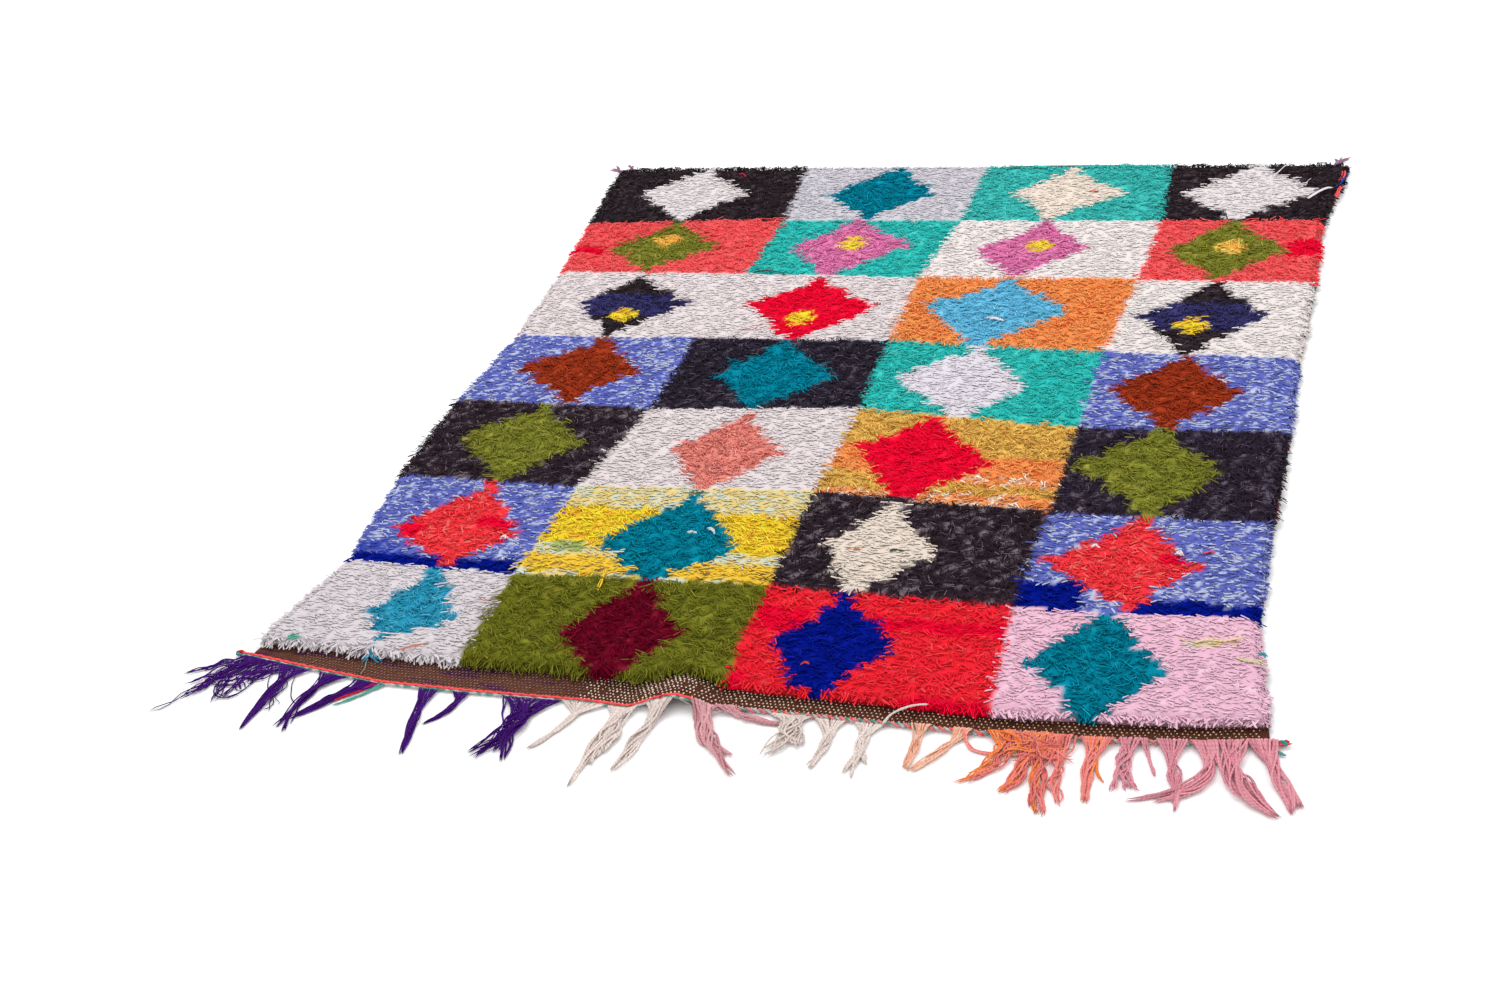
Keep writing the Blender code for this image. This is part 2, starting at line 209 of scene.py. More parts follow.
def make_cloth_material():
    """Brown plain weave: ribs along x, crossed by warps, with mauve stretches at
    the left of the hem, and rows of coloured knot backs under the pile."""
    material, tree, shader = start_material("ground_weave", 0.95, 0.02, 0.04)
    ribs = add_node(
        tree, "ShaderNodeTexWave", {"wave_type": "BANDS", "bands_direction": "Y"},
        Vector=scaled_place(tree, (1, 1, 1)), Scale=97, Distortion=1.2, Detail=2)
    warps = add_node(
        tree, "ShaderNodeTexWave", {"wave_type": "BANDS", "bands_direction": "X"},
        Vector=scaled_place(tree, (1, 1, 1)), Scale=88, Distortion=0.8, Detail=2)
    weave = add_node(tree, "ShaderNodeMath", {"operation": "MULTIPLY"}, i0=ribs.outputs["Fac"], i1=warps.outputs["Fac"])
    stretches = add_node(tree, "ShaderNodeTexNoise", Vector=scaled_place(tree, (9, 60, 60)), Scale=1, Detail=3)
    spread = add_node(tree, "ShaderNodeMapRange", Value=stretches.outputs["Fac"], i1=0.54, i2=0.62)
    place = add_node(tree, "ShaderNodeTexCoord").outputs["Object"]
    at = add_node(tree, "ShaderNodeSeparateXYZ", Vector=place)
    at_left = add_node(tree, "ShaderNodeMapRange", Value=at.outputs["X"], i1=-0.15, i2=-0.25)
    mauve = add_node(
        tree, "ShaderNodeMath", {"operation": "MULTIPLY"}, i0=spread.outputs["Result"], i1=at_left.outputs["Result"])
    darker = add_node(tree, "ShaderNodeMapRange", Value=at.outputs["X"], i1=-0.24, i2=-0.17)
    brown = mix_colours(tree, darker.outputs["Result"], HEM_BROWN, HEM_DARK)
    brown = mix_colours(tree, mauve.outputs["Value"], brown, HEM_MAUVE)
    fibres = add_node(tree, "ShaderNodeTexNoise", Vector=scaled_place(tree, (340, 260, 340)), Scale=1, Detail=5)
    lighter = mix_colours(tree, fibres.outputs["Fac"], (0.25, 0.24, 0.24), (1.75, 1.72, 1.70))
    brown = mix_colours(tree, 1.0, brown, lighter, "MULTIPLY")
    # Painted shade: the brown darkens in the hollows of the weave, where its bump is low.
    shade = mix_colours(tree, weave.outputs["Value"], (0.55, 0.55, 0.55), (1.45, 1.45, 1.45))
    brown = mix_colours(tree, 1.0, brown, shade, "MULTIPLY")
    knots = add_node(tree, "ShaderNodeAttribute", {"attribute_name": "knot_backs"})
    backs = mix_colours(tree, weave.outputs["Value"], brown, knots.outputs["Color"])
    colour = mix_colours(tree, knots.outputs["Alpha"], brown, backs)
    tree.links.new(colour, shader.inputs["Base Color"])
    add_bump(tree, shader, weave.outputs["Value"], 0.7, 0.0012)
    return material


def make_ground_cloth():
    bpy.ops.mesh.primitive_grid_add(
        x_subdivisions=CLOTH_COLUMNS, y_subdivisions=HEM_STEPS + FIELD_STEPS, size=1)
    cloth = bpy.context.object
    cloth.name = cloth.data.name = "ground_cloth"
    count = len(cloth.data.vertices)
    flat = np.empty(count * 3)
    cloth.data.vertices.foreach_get("co", flat)
    across, along = (flat.reshape(-1, 3)[:, :2] + 0.5).T
    step = along * (HEM_STEPS + FIELD_STEPS)
    near_x = line_x(0, -0.84) + (line_x(4, -0.84) - line_x(0, -0.84)) * across
    near, foot = cord_y(near_x) + CORD_RADIUS + CORD_GAP, pile_foot_y(near_x)
    far = ROW_LINES[-1, 0] + FAR_HEM_WIDTH
    on_hem = step < HEM_STEPS
    share = (step - HEM_STEPS) / FIELD_STEPS
    y = np.where(on_hem, near + (foot - near) * step / HEM_STEPS, foot + (far - foot) * share)
    left, right = line_x(0, y), line_x(4, y)
    x = left + (right - left) * across
    waves = hem_waves(x) * np.clip(1 - share * 40, 0, 1)
    stands_up = np.exp(-((x - 0.21) / 0.18) ** 8) * (along == along.max())
    z = pucker_lift(x, y) + waves + FAR_HEM_LIFT * stands_up
    cloth.data.vertices.foreach_set("co", np.stack((x, y, z), axis=1).ravel())
    solidify = cloth.modifiers.new("thickness", "SOLIDIFY")
    solidify.thickness = CLOTH_THICKNESS
    solidify.offset = 1
    solidify.use_even_offset = False
    bpy.ops.object.modifier_apply(modifier="thickness")
    bpy.ops.object.shade_smooth_by_angle(angle=math.radians(50))
    cloth.data.materials.append(make_cloth_material())
    return cloth


ground_cloth = make_ground_cloth()
finish_piece(ground_cloth, "pile", "rug_field")


# Knotted pile
# Each knot's yarn ends stand 17 to 26 mm over the cloth and lie over sideways
# and towards the near end. The yarns are wool, cotton rag and synthetic, each
# lot in its own colour: four by seven blocks, a stepped lozenge in each.
KNOT_ROW_PITCH = 0.0075
STRAND_PITCH = 0.0053
PILE_FOOT_Z = 0.0028
RIM_WIDTH = 0.012
RIM_PITCH = 0.0021
LOZENGE_STEP = 0.020
LOZENGE_JITTER = 0.007
LOZENGE_NECK = 0.013
STRAND_FLATNESS = 0.36
CELL_MARGIN = 0.06
CLUMP_WIDTH = 0.013
CLUMP_DEPTH = 0.0105
CLUMP_PULL = 0.38
CLUMPED_FLECKS = ("pastel", "mint", "fleck_yellow", "orange_white")
THIN_FLECKS = ("charcoal", "ink", "fleck_yellow")
BED_COLUMNS = 150
BED_ROWS = 175
BED_INSET = 0.003
BED_LUMPS = 0.003

# y of the lines between the rows of blocks, where they meet the left edge, the
# three column lines and the right edge
BLOCK_EDGES = np.array((
    (-0.818, -0.826, -0.826, -0.836, -0.806),
    (-0.606, -0.616, -0.602, -0.612, -0.600),
    (-0.368, -0.372, -0.352, -0.375, -0.372),
    (-0.120, -0.130, -0.100, -0.135, -0.128),
    (0.115, 0.118, 0.128, 0.105, 0.100),
    (0.368, 0.370, 0.362, 0.362, 0.360),
    (0.580, 0.600, 0.598, 0.598, 0.598),
    (0.842, 0.842, 0.838, 0.840, 0.842),
))
# Height of the yarn in each block in millimetres, rows from near to far
PILE_HEIGHT_MM = np.array((
    (20, 26, 21, 20),
    (19, 22, 25, 19),
    (24, 20, 21, 24),
    (19, 22, 19, 19),
    (18, 18, 22, 18),
    (21, 18, 18, 21),
    (20, 18, 18, 17),
))
# Each lot of yarn: finish, colour, colour of its flecks, share of flecks, width
# of a strand in mm, reach in mm, curl in mm, share of strands that lie one way
YARNS = {
    "grey_white": ("cotton", (210, 202, 206), (190, 182, 186), 0.08, 3.6, 13, 2.0, 0.88),
    "off_white": ("cotton", (216, 205, 206), (188, 174, 178), 0.06, 3.8, 12, 2.0, 0.88),
    "bright_white": ("cotton", (222, 213, 211), (196, 186, 186), 0.05, 3.8, 12, 2.0, 0.88),
    "far_white": ("cotton", (217, 209, 210), (190, 182, 184), 0.05, 3.8, 12, 2.0, 0.88),
    "lilac_white": ("cotton", (212, 205, 214), (190, 182, 192), 0.05, 3.8, 12, 2.5, 0.85),
    "far_lilac": ("cotton", (196, 192, 200), (172, 166, 176), 0.08, 3.8, 12, 2.5, 0.85),
    "cream": ("cotton", (222, 208, 195), (196, 178, 160), 0.05, 4.0, 12, 2.0, 0.88),
    "cyan": ("synthetic", (42, 141, 171), (80, 166, 194), 0.08, 3.2, 13, 2.5, 0.85),
    "sky_blue": ("synthetic", (93, 171, 203), (120, 188, 214), 0.06, 3.2, 13, 2.5, 0.85),
    "teal": ("wool", (5, 123, 147), (20, 140, 160), 0.06, 3.2, 13, 2.5, 0.85),
    "turquoise": ("synthetic", (42, 171, 165), (70, 188, 178), 0.10, 3.4, 12, 3.0, 0.80),
    "far_turquoise": ("synthetic", (60, 174, 168), (36, 150, 148), 0.12, 3.4, 12, 3.0, 0.80),
    "royal_blue": ("synthetic", (3, 20, 123), (14, 30, 150), 0.10, 3.2, 14, 2.0, 0.90),
    "marl": ("cotton", (90, 99, 178), (178, 186, 214), 0.27, 3.8, 11, 2.5, 0.75),
    "mid_blue": ("cotton", (58, 71, 168), (110, 122, 196), 0.25, 3.6, 12, 2.0, 0.85),
    "navy": ("wool", (56, 54, 104), (42, 36, 50), 0.20, 3.4, 13, 2.5, 0.85),
    "black": ("wool", (44, 38, 50), (84, 74, 88), 0.16, 3.4, 13, 2.5, 0.85),
    "ink": ("wool", (48, 39, 52), (104, 94, 110), 0.14, 3.0, 13, 4.0, 0.70),
    "soot": ("wool", (44, 36, 40), (74, 62, 68), 0.16, 3.4, 12, 3.0, 0.80),
    "charcoal": ("wool", (50, 38, 46), (122, 110, 118), 0.18, 3.0, 13, 4.5, 0.65),
    "moss": ("wool", (108, 110, 32), (130, 127, 46), 0.16, 2.6, 16, 3.0, 0.90),
    "olive": ("wool", (121, 124, 44), (148, 142, 62), 0.12, 3.0, 14, 2.5, 0.90),
    "yellow": ("synthetic", (235, 194, 48), (222, 160, 54), 0.16, 3.8, 12, 3.0, 0.75),
    "pastel": ("cotton", (219, 194, 124), (198, 206, 190), 0.34, 3.8, 12, 3.0, 0.75),
    "fleck_yellow": ("cotton", (230, 188, 58), (128, 92, 66), 0.17, 4.2, 12, 4.0, 0.65),
    "mint": ("cotton", (150, 166, 96), (176, 186, 130), 0.30, 3.8, 12, 3.0, 0.75),
    "sun_yellow": ("synthetic", (236, 194, 60), (242, 180, 70), 0.12, 3.6, 9, 2.0, 0.80),
    "orange_yellow": ("synthetic", (238, 166, 74), (240, 196, 90), 0.20, 3.6, 9, 2.0, 0.80),
    "ochre": ("wool", (220, 173, 86), (188, 138, 62), 0.12, 3.4, 12, 3.5, 0.75),
    "orange": ("synthetic", (242, 138, 77), (218, 104, 56), 0.12, 3.8, 11, 3.5, 0.70),
    "orange_white": ("synthetic", (240, 138, 78), (228, 208, 192), 0.26, 3.8, 11, 3.5, 0.70),
    "salmon": ("wool", (224, 133, 122), (208, 112, 104), 0.10, 3.4, 12, 2.5, 0.80),
    "rust": ("wool", (148, 52, 27), (164, 68, 38), 0.10, 3.2, 13, 2.5, 0.85),
    "coral_red": ("synthetic", (234, 36, 50), (240, 62, 68), 0.12, 4.0, 11, 4.5, 0.60),
    "warm_coral": ("synthetic", (237, 52, 60), (244, 98, 92), 0.14, 4.0, 11, 4.5, 0.60),
    "bright_coral": ("synthetic", (241, 86, 88), (232, 54, 62), 0.12, 3.8, 11, 4.0, 0.60),
    "crimson": ("synthetic", (228, 8, 48), (230, 30, 56), 0.08, 3.2, 13, 2.0, 0.90),
    "burgundy": ("wool", (104, 9, 33), (124, 26, 46), 0.12, 2.8, 14, 2.5, 0.85),
    "orchid": ("synthetic", (199, 106, 154), (216, 136, 176), 0.12, 3.6, 12, 3.5, 0.75),
    "orchid_pink": ("cotton", (226, 178, 199), (236, 196, 212), 0.12, 3.6, 11, 3.2, 0.70),
}
# How much lighter each finish is than its colour on the picture, and how far its
# strands are dyed lighter or darker
COLOUR_GAIN = {"wool": 1.22, "cotton": 1.00, "synthetic": 1.27}
DYE_SPREAD = {"wool": 0.36, "cotton": 0.03, "synthetic": 0.26}
# How unevenly the strands of each finish stand and lie
UNEVENNESS = {"wool": 1.35, "cotton": 0.30, "synthetic": 1.15}
# How much the loose fibres of each finish turn the shading of a strand upward
NAP = {"wool": 0.30, "cotton": 0.62, "synthetic": 0.40}
# How high the added foot of the pile is for each finish, and how far painted
# shade darkens it, as shares of the height and colour of the strands over it
BED_SHARE = {"wool": 0.72, "cotton": 0.86, "synthetic": 0.74}
BED_PAINTED_SHADE = {"wool": 0.80, "cotton": 0.96, "synthetic": 0.82}
# Ground yarn, lozenge yarn and yarn of the lozenge's heart, rows near to far
BLOCKS = (
    (("grey_white", "cyan", None), ("moss", "burgundy", None),
     ("coral_red", "royal_blue", None), ("orchid_pink", "teal", None)),
    (("marl", "warm_coral", None), ("yellow", "teal", None),
     ("charcoal", "cream", None), ("marl", "warm_coral", None)),
    (("charcoal", "olive", None), ("off_white", "salmon", None),
     ("ochre", "crimson", None), ("ink", "olive", None)),
    (("marl", "rust", None), ("black", "teal", None),
     ("turquoise", "lilac_white", None), ("marl", "rust", None)),
    (("off_white", "navy", "yellow"), ("off_white", "crimson", "yellow"),
     ("orange", "sky_blue", None), ("bright_white", "navy", "yellow")),
    (("bright_coral", "olive", "orange_yellow"), ("turquoise", "orchid", "sun_yellow"),
     ("bright_white", "orchid", "sun_yellow"), ("bright_coral", "olive", "orange_yellow")),
    (("soot", "far_white", None), ("far_lilac", "teal", None),
     ("far_turquoise", "cream", None), ("soot", "far_white", None)),
)
# Tips of the lozenges: x and y of the left, right, far and near tip
LOZENGE_TIPS = np.array((
    ((-0.595, -0.735, -0.440, -0.735, -0.530, -0.615, -0.540, -0.798),
     (-0.265, -0.740, -0.070, -0.735, -0.170, -0.620, -0.160, -0.855),
     (0.065, -0.730, 0.250, -0.720, 0.145, -0.610, 0.145, -0.850),
     (0.425, -0.725, 0.625, -0.730, 0.525, -0.605, 0.535, -0.845)),
    ((-0.672, -0.518, -0.435, -0.515, -0.545, -0.378, -0.520, -0.605),
     (-0.292, -0.515, -0.052, -0.520, -0.175, -0.380, -0.175, -0.618),
     (0.075, -0.490, 0.250, -0.500, 0.155, -0.385, 0.145, -0.620),
     (0.405, -0.495, 0.630, -0.490, 0.535, -0.375, 0.545, -0.600)),
    ((-0.675, -0.240, -0.430, -0.250, -0.550, -0.135, -0.535, -0.370),
     (-0.270, -0.240, -0.070, -0.250, -0.165, -0.135, -0.175, -0.375),
     (0.040, -0.210, 0.275, -0.245, 0.160, -0.130, 0.155, -0.375),
     (0.405, -0.240, 0.635, -0.245, 0.525, -0.140, 0.540, -0.375)),
    ((-0.670, 0.000, -0.420, 0.000, -0.530, 0.110, -0.520, -0.115),
     (-0.275, 0.000, -0.050, -0.005, -0.180, 0.110, -0.170, -0.120),
     (0.050, 0.005, 0.295, -0.020, 0.175, 0.105, 0.190, -0.115),
     (0.415, -0.015, 0.640, -0.020, 0.535, 0.100, 0.535, -0.130)),
    ((-0.650, 0.245, -0.420, 0.250, -0.550, 0.350, -0.535, 0.125),
     (-0.300, 0.250, -0.045, 0.245, -0.185, 0.350, -0.175, 0.115),
     (0.040, 0.255, 0.315, 0.240, 0.180, 0.345, 0.170, 0.110),
     (0.430, 0.230, 0.655, 0.245, 0.545, 0.350, 0.530, 0.105)),
    ((-0.670, 0.465, -0.435, 0.475, -0.560, 0.585, -0.560, 0.380),
     (-0.290, 0.480, -0.045, 0.495, -0.175, 0.600, -0.180, 0.370),
     (0.090, 0.470, 0.295, 0.480, 0.205, 0.600, 0.175, 0.360),
     (0.445, 0.475, 0.660, 0.475, 0.550, 0.600, 0.545, 0.370)),
    ((-0.700, 0.720, -0.455, 0.715, -0.580, 0.830, -0.570, 0.600),
     (-0.285, 0.710, -0.050, 0.715, -0.155, 0.840, -0.165, 0.605),
     (0.105, 0.720, 0.325, 0.715, 0.210, 0.820, 0.205, 0.605),
     (0.440, 0.710, 0.690, 0.724, 0.568, 0.840, 0.555, 0.605)),
))
# Hearts of the lozenges by row and column: x and y of the middle
HEARTS = {
    (4, 0): (-0.535, 0.205), (4, 1): (-0.180, 0.205), (4, 3): (0.525, 0.205),
    (5, 0): (-0.555, 0.505), (5, 1): (-0.165, 0.500), (5, 2): (0.205, 0.495), (5, 3): (0.560, 0.490),
}
HEART_REACH = 0.027
HEART_ARM = 0.012
# Stretches where the weaver ran out of a lot: row, column, in the lozenge or
# the ground, lowest and highest x, lowest and highest y, yarn
PATCHES = (
    (0, 2, "ground", 0.190, 0.390, -0.682, -0.655, "crimson"),
    (0, 2, "ground", 0.020, 0.100, -0.700, -0.650, "crimson"),
    (0, 2, "ground", 0.280, 0.400, -0.860, -0.820, "crimson"),
    (0, 2, "ground", 0.000, 0.050, -0.850, -0.800, "crimson"),
    (0, 2, "lozenge", 0.124, 0.150, -0.848, -0.822, "coral_red"),
    (0, 3, "ground", 0.630, 0.700, -0.664, -0.655, "pastel"),
    (1, 0, "ground", -0.700, -0.400, -0.620, -0.583, "royal_blue"),
    (1, 0, "ground", -0.720, -0.610, -0.583, -0.555, "mid_blue"),
    (1, 0, "lozenge", -0.670, -0.610, -0.540, -0.500, "crimson"),
    (1, 0, "lozenge", -0.520, -0.460, -0.500, -0.470, "crimson"),
    (1, 1, "ground", -0.400, 0.020, -0.425, -0.340, "pastel"),
    (1, 1, "ground", -0.400, 0.020, -0.562, -0.530, "pastel"),
    (1, 1, "ground", -0.365, -0.310, -0.555, -0.525, "mint"),
    (1, 1, "ground", -0.400, 0.020, -0.602, -0.562, "fleck_yellow"),
    (1, 1, "ground", -0.400, 0.020, -0.640, -0.602, "pastel"),
    (1, 3, "ground", 0.380, 0.480, -0.620, -0.545, "royal_blue"),
    (1, 3, "ground", 0.550, 0.735, -0.620, -0.570, "royal_blue"),
    (1, 3, "lozenge", 0.570, 0.620, -0.480, -0.460, "crimson"),
    (2, 2, "ground", 0.160, 0.400, -0.290, -0.235, "orange"),
    (2, 2, "ground", 0.160, 0.400, -0.312, -0.283, "orange_white"),
    (2, 2, "ground", 0.160, 0.400, -0.380, -0.336, "orange_white"),
    (2, 2, "ground", 0.000, 0.160, -0.285, -0.210, "orange"),
    (2, 2, "ground", 0.000, 0.160, -0.380, -0.338, "orange_white"),
    (4, 0, "lozenge", -0.700, -0.400, 0.285, 0.380, "soot"),
    (4, 0, "lozenge", -0.700, -0.400, 0.100, 0.200, "soot"),
    (4, 3, "lozenge", 0.400, 0.700, 0.285, 0.380, "soot"),
    (4, 3, "lozenge", 0.400, 0.700, 0.090, 0.192, "soot"),
    (5, 0, "ground", -0.750, -0.680, 0.445, 0.475, "crimson"),
    (5, 3, "ground", 0.655, 0.720, 0.455, 0.520, "crimson"),
)


def linear(colour):
    """A display colour of 0 to 255 as the light that it stands for."""
    share = np.array(colour) / 255
    return np.where(share < 0.04045, share / 12.92, ((share + 0.055) / 1.055) ** 2.4)


def clump_values(rng, x, y, width, depth):
    """One random value for all points in the same small patch of the pile."""
    table = rng.random((400, 400))
    return table[(x / width).astype(int) % 400, (y / depth).astype(int) % 400]


def inside_lozenge(row, column, x, y):
    """True where a point is inside a block's stepped, ragged lozenge."""
    rng = np.random.default_rng([row, column])
    left, right, far, near = LOZENGE_TIPS[row, column].reshape(4, 2)
    step = np.floor((y + 1) / LOZENGE_STEP).astype(int)
    middle = (step + 0.5) * LOZENGE_STEP - 1
    steps = rng.uniform(-LOZENGE_JITTER, LOZENGE_JITTER, (2, 120))
    sides = []
    for side, sign in ((left, -1), (right, 1)):
        edge = np.interp(middle, (near[1], side[1], far[1]), (near[0], side[0], far[0]))
        axis = np.interp(y, (near[1], far[1]), (near[0], far[0]))
        edge = axis + sign * np.maximum(sign * (edge - axis), LOZENGE_NECK)
        sides.append(edge + steps[int(sign > 0)][step % 120])
    return (x > sides[0]) & (x < sides[1]) & (y > near[1]) & (y < far[1] + 0.01)


def chart_yarns(x, y, row):
    """Index of the yarn of each knot in a row of blocks."""
    names = list(YARNS)
    column = sum((x > line_x(line, y)).astype(int) for line in (1, 2, 3))
    yarn = np.zeros(len(x), int)
    for number, (ground, lozenge, heart) in enumerate(BLOCKS[row]):
        here = column == number
        inside = inside_lozenge(row, number, x, y) & here
        yarn[here] = names.index(ground)
        yarn[inside] = names.index(lozenge)
        for patch_row, patch_column, part, x0, x1, y0, y1, name in PATCHES:
            if (patch_row, patch_column) != (row, number):
                continue
            edge = 0.004 * np.sin(x * 70 + y0 * 90)
            in_patch = (x > x0) & (x < x1) & (y > y0 + edge) & (y < y1 + edge) & here
            yarn[in_patch & (inside if part == "lozenge" else ~inside)] = names.index(name)
        if heart:
            dx, dy = x - HEARTS[row, number][0], y - HEARTS[row, number][1]
            cross = (abs(dx) < HEART_ARM) & (abs(dy) < HEART_REACH)
            cross |= (abs(dx) < HEART_REACH) & (abs(dy) < HEART_ARM)
            yarn[cross & here] = names.index(heart)
    return yarn


def yarn_mesh(name, centres, radii, side, colour, corners=3, flatness=1.0, finishes=None, nap=None):
    """Many yarns in one mesh, each a closed tube of rings with a point at both
    ends. Points carry the yarn's colour and how far along and round it they are.
    Nap is the share by which a yarn's shading leans upward, as loose fibres do."""
    count, rings = radii.shape
    ahead = centres[:, 2:] - centres[:, :-2]
    ahead /= np.linalg.norm(ahead, axis=2, keepdims=True)
    normal = np.cross(ahead, side)
    normal /= np.linalg.norm(normal, axis=2, keepdims=True)
    angle = np.pi / 2 + 2 * np.pi * np.arange(corners) / corners
    ring = np.cos(angle)[:, None] * side[:, :, None] + flatness * np.sin(angle)[:, None] * normal[:, :, None]
    ring = centres[:, 1:-1, None] + radii[:, :, None, None] * ring
    points = np.concatenate((centres[:, :1], ring.reshape(count, -1, 3), centres[:, -1:]), axis=1)
    size, tip = points.shape[1], 1 + rings * corners
    faces, places = [], []
    for row in range(rings + 1):
        low, high = row / (rings + 1), (row + 1) / (rings + 1)
        for k in range(corners):
            first, second = 1 + row * corners + k, 1 + row * corners + (k + 1) % corners
            start, end, middle = k / corners, (k + 1) / corners, (k + 0.5) / corners
            if row == 0:
                faces.append([0, second, first])
                places.append([(middle, low), (end, high), (start, high)])
            elif row < rings:
                faces.append([first - corners, second - corners, second, first])
                places.append([(start, low), (end, low), (end, high), (start, high)])
            else:
                faces.append([first - corners, second - corners, tip])
                places.append([(start, low), (end, low), (middle, high)])
    sizes = np.array([len(face) for face in faces])
    corner_points = np.array(sum(faces, []))
    corner_places = CELL_MARGIN + (1 - 2 * CELL_MARGIN) * np.array(sum(places, []))
    mesh = bpy.data.meshes.new(name)
    mesh.vertices.add(size * count)
    mesh.vertices.foreach_set("co", points.ravel())
    mesh.loops.add(len(corner_points) * count)
    mesh.loops.foreach_set("vertex_index", (corner_points[None] + size * np.arange(count)[:, None]).ravel())
    mesh.polygons.add(len(sizes) * count)
    mesh.polygons.foreach_set("loop_start", np.append(0, np.cumsum(np.tile(sizes, count))[:-1]))
    cells = math.ceil(math.sqrt(count))
    cell = np.stack((np.arange(count) % cells, np.arange(count) // cells), axis=1)
    mesh.uv_layers.new(name="OFBake")
    mesh.uv_layers["OFBake"].data.foreach_set("uv", ((cell[:, None] + corner_places[None]) / cells).ravel())
    row_of_point = np.concatenate(([0], np.repeat(np.arange(rings) + 1, corners), [rings + 1]))
    length = np.cumsum(np.linalg.norm(np.diff(centres, axis=1, prepend=centres[:, :1]), axis=2), axis=1)
    strand = np.empty(points.shape)
    strand[:, :, 0] = np.random.default_rng(count).random((count, 1))
    strand[:, :, 1] = row_of_point / (rings + 1)
    strand[:, :, 2] = length[:, row_of_point]
    mesh.attributes.new("strand", "FLOAT_VECTOR", "POINT").data.foreach_set("vector", strand.ravel())
    around = np.zeros(points.shape)
    around[:, 1:-1, 0] = np.tile(np.cos(angle), rings)
    around[:, 1:-1, 1] = np.tile(np.sin(angle), rings)
    mesh.attributes.new("around", "FLOAT_VECTOR", "POINT").data.foreach_set("vector", around.ravel())
    shade = np.ones((count, size, 4))
    shade[:, :, :3] = colour[:, row_of_point] if colour.ndim == 3 else colour[:, None]
    mesh.attributes.new("strand_colour", "FLOAT_COLOR", "POINT").data.foreach_set("color", shade.ravel())
    if finishes is not None:
        mesh.polygons.foreach_set("material_index", np.repeat(finishes, len(sizes)))
    mesh.update(calc_edges=True)
    mesh.shade_smooth()
    if nap is not None:
        outward = np.cos(angle)[:, None] * side[:, :, None] + np.sin(angle)[:, None] / flatness * normal[:, :, None]
        facing = np.concatenate((-ahead[:, :1], outward.reshape(count, -1, 3), ahead[:, -1:]), axis=1)
        facing /= np.linalg.norm(facing, axis=2, keepdims=True)
        facing = facing * (1 - nap[:, None, None]) + nap[:, None, None] * np.array((0, 0, 1.0))
        facing /= np.linalg.norm(facing, axis=2, keepdims=True)
        mesh.normals_split_custom_set_from_vertices(facing.reshape(-1, 3))
    piece = bpy.data.objects.new(name, mesh)
    bpy.context.scene.collection.objects.link(piece)
    return piece


def make_yarn_material(name, roughness, specular, fibre_scale, painted_root_shade, mottling):
    """Dyed yarn: the lot's colour, mottled along each strand, with painted shade
    that darkens its root where the pile closes over it, and fine fibres on its surface."""
    material, tree, shader = start_material(name, roughness, 0, specular)
    lot = add_node(tree, "ShaderNodeAttribute", {"attribute_name": "strand_colour"})
    strand = add_node(tree, "ShaderNodeAttribute", {"attribute_name": "strand"})
    parts = add_node(tree, "ShaderNodeSeparateXYZ", Vector=strand.outputs["Vector"])
    paler, deeper = (1 + mottling,) * 3, (1 - mottling,) * 3
    mottle_place = add_node(
        tree, "ShaderNodeMapping", Vector=strand.outputs["Vector"], Scale=(90, 2, 120))
    mottle = add_node(tree, "ShaderNodeTexNoise", Vector=mottle_place.outputs["Vector"], Scale=1, Detail=2)
    mottled = mix_colours(tree, mottle.outputs["Fac"], deeper, paler)
    colour = mix_colours(tree, 1.0, lot.outputs["Color"], mottled, "MULTIPLY")
    # Painted shade: each strand darkens from a third of its length down to its root.
    depth = add_node(tree, "ShaderNodeMapRange", Value=parts.outputs["Y"], i1=0.0, i2=0.34, i3=painted_root_shade, i4=1.0)
    shade = add_node(
        tree, "ShaderNodeCombineXYZ",
        X=depth.outputs["Result"], Y=depth.outputs["Result"], Z=depth.outputs["Result"])
    colour = mix_colours(tree, 1.0, colour, shade.outputs["Vector"], "MULTIPLY")
    around = add_node(tree, "ShaderNodeAttribute", {"attribute_name": "around"})
    across = add_node(
        tree, "ShaderNodeVectorMath", {"operation": "MULTIPLY_ADD"},
        i0=around.outputs["Vector"], i1=(fibre_scale, fibre_scale, 0), i2=mottle_place.outputs["Vector"])
    fibres = add_node(tree, "ShaderNodeTexNoise", Vector=across.outputs["Vector"], Scale=1, Detail=3)
    fibre_shade = mix_colours(tree, fibres.outputs["Fac"], deeper, paler)
    colour = mix_colours(tree, 1.0, colour, fibre_shade, "MULTIPLY")
    tree.links.new(colour, shader.inputs["Base Color"])
    add_bump(tree, shader, fibres.outputs["Fac"], 2 * mottling, 0.0006)
    return material


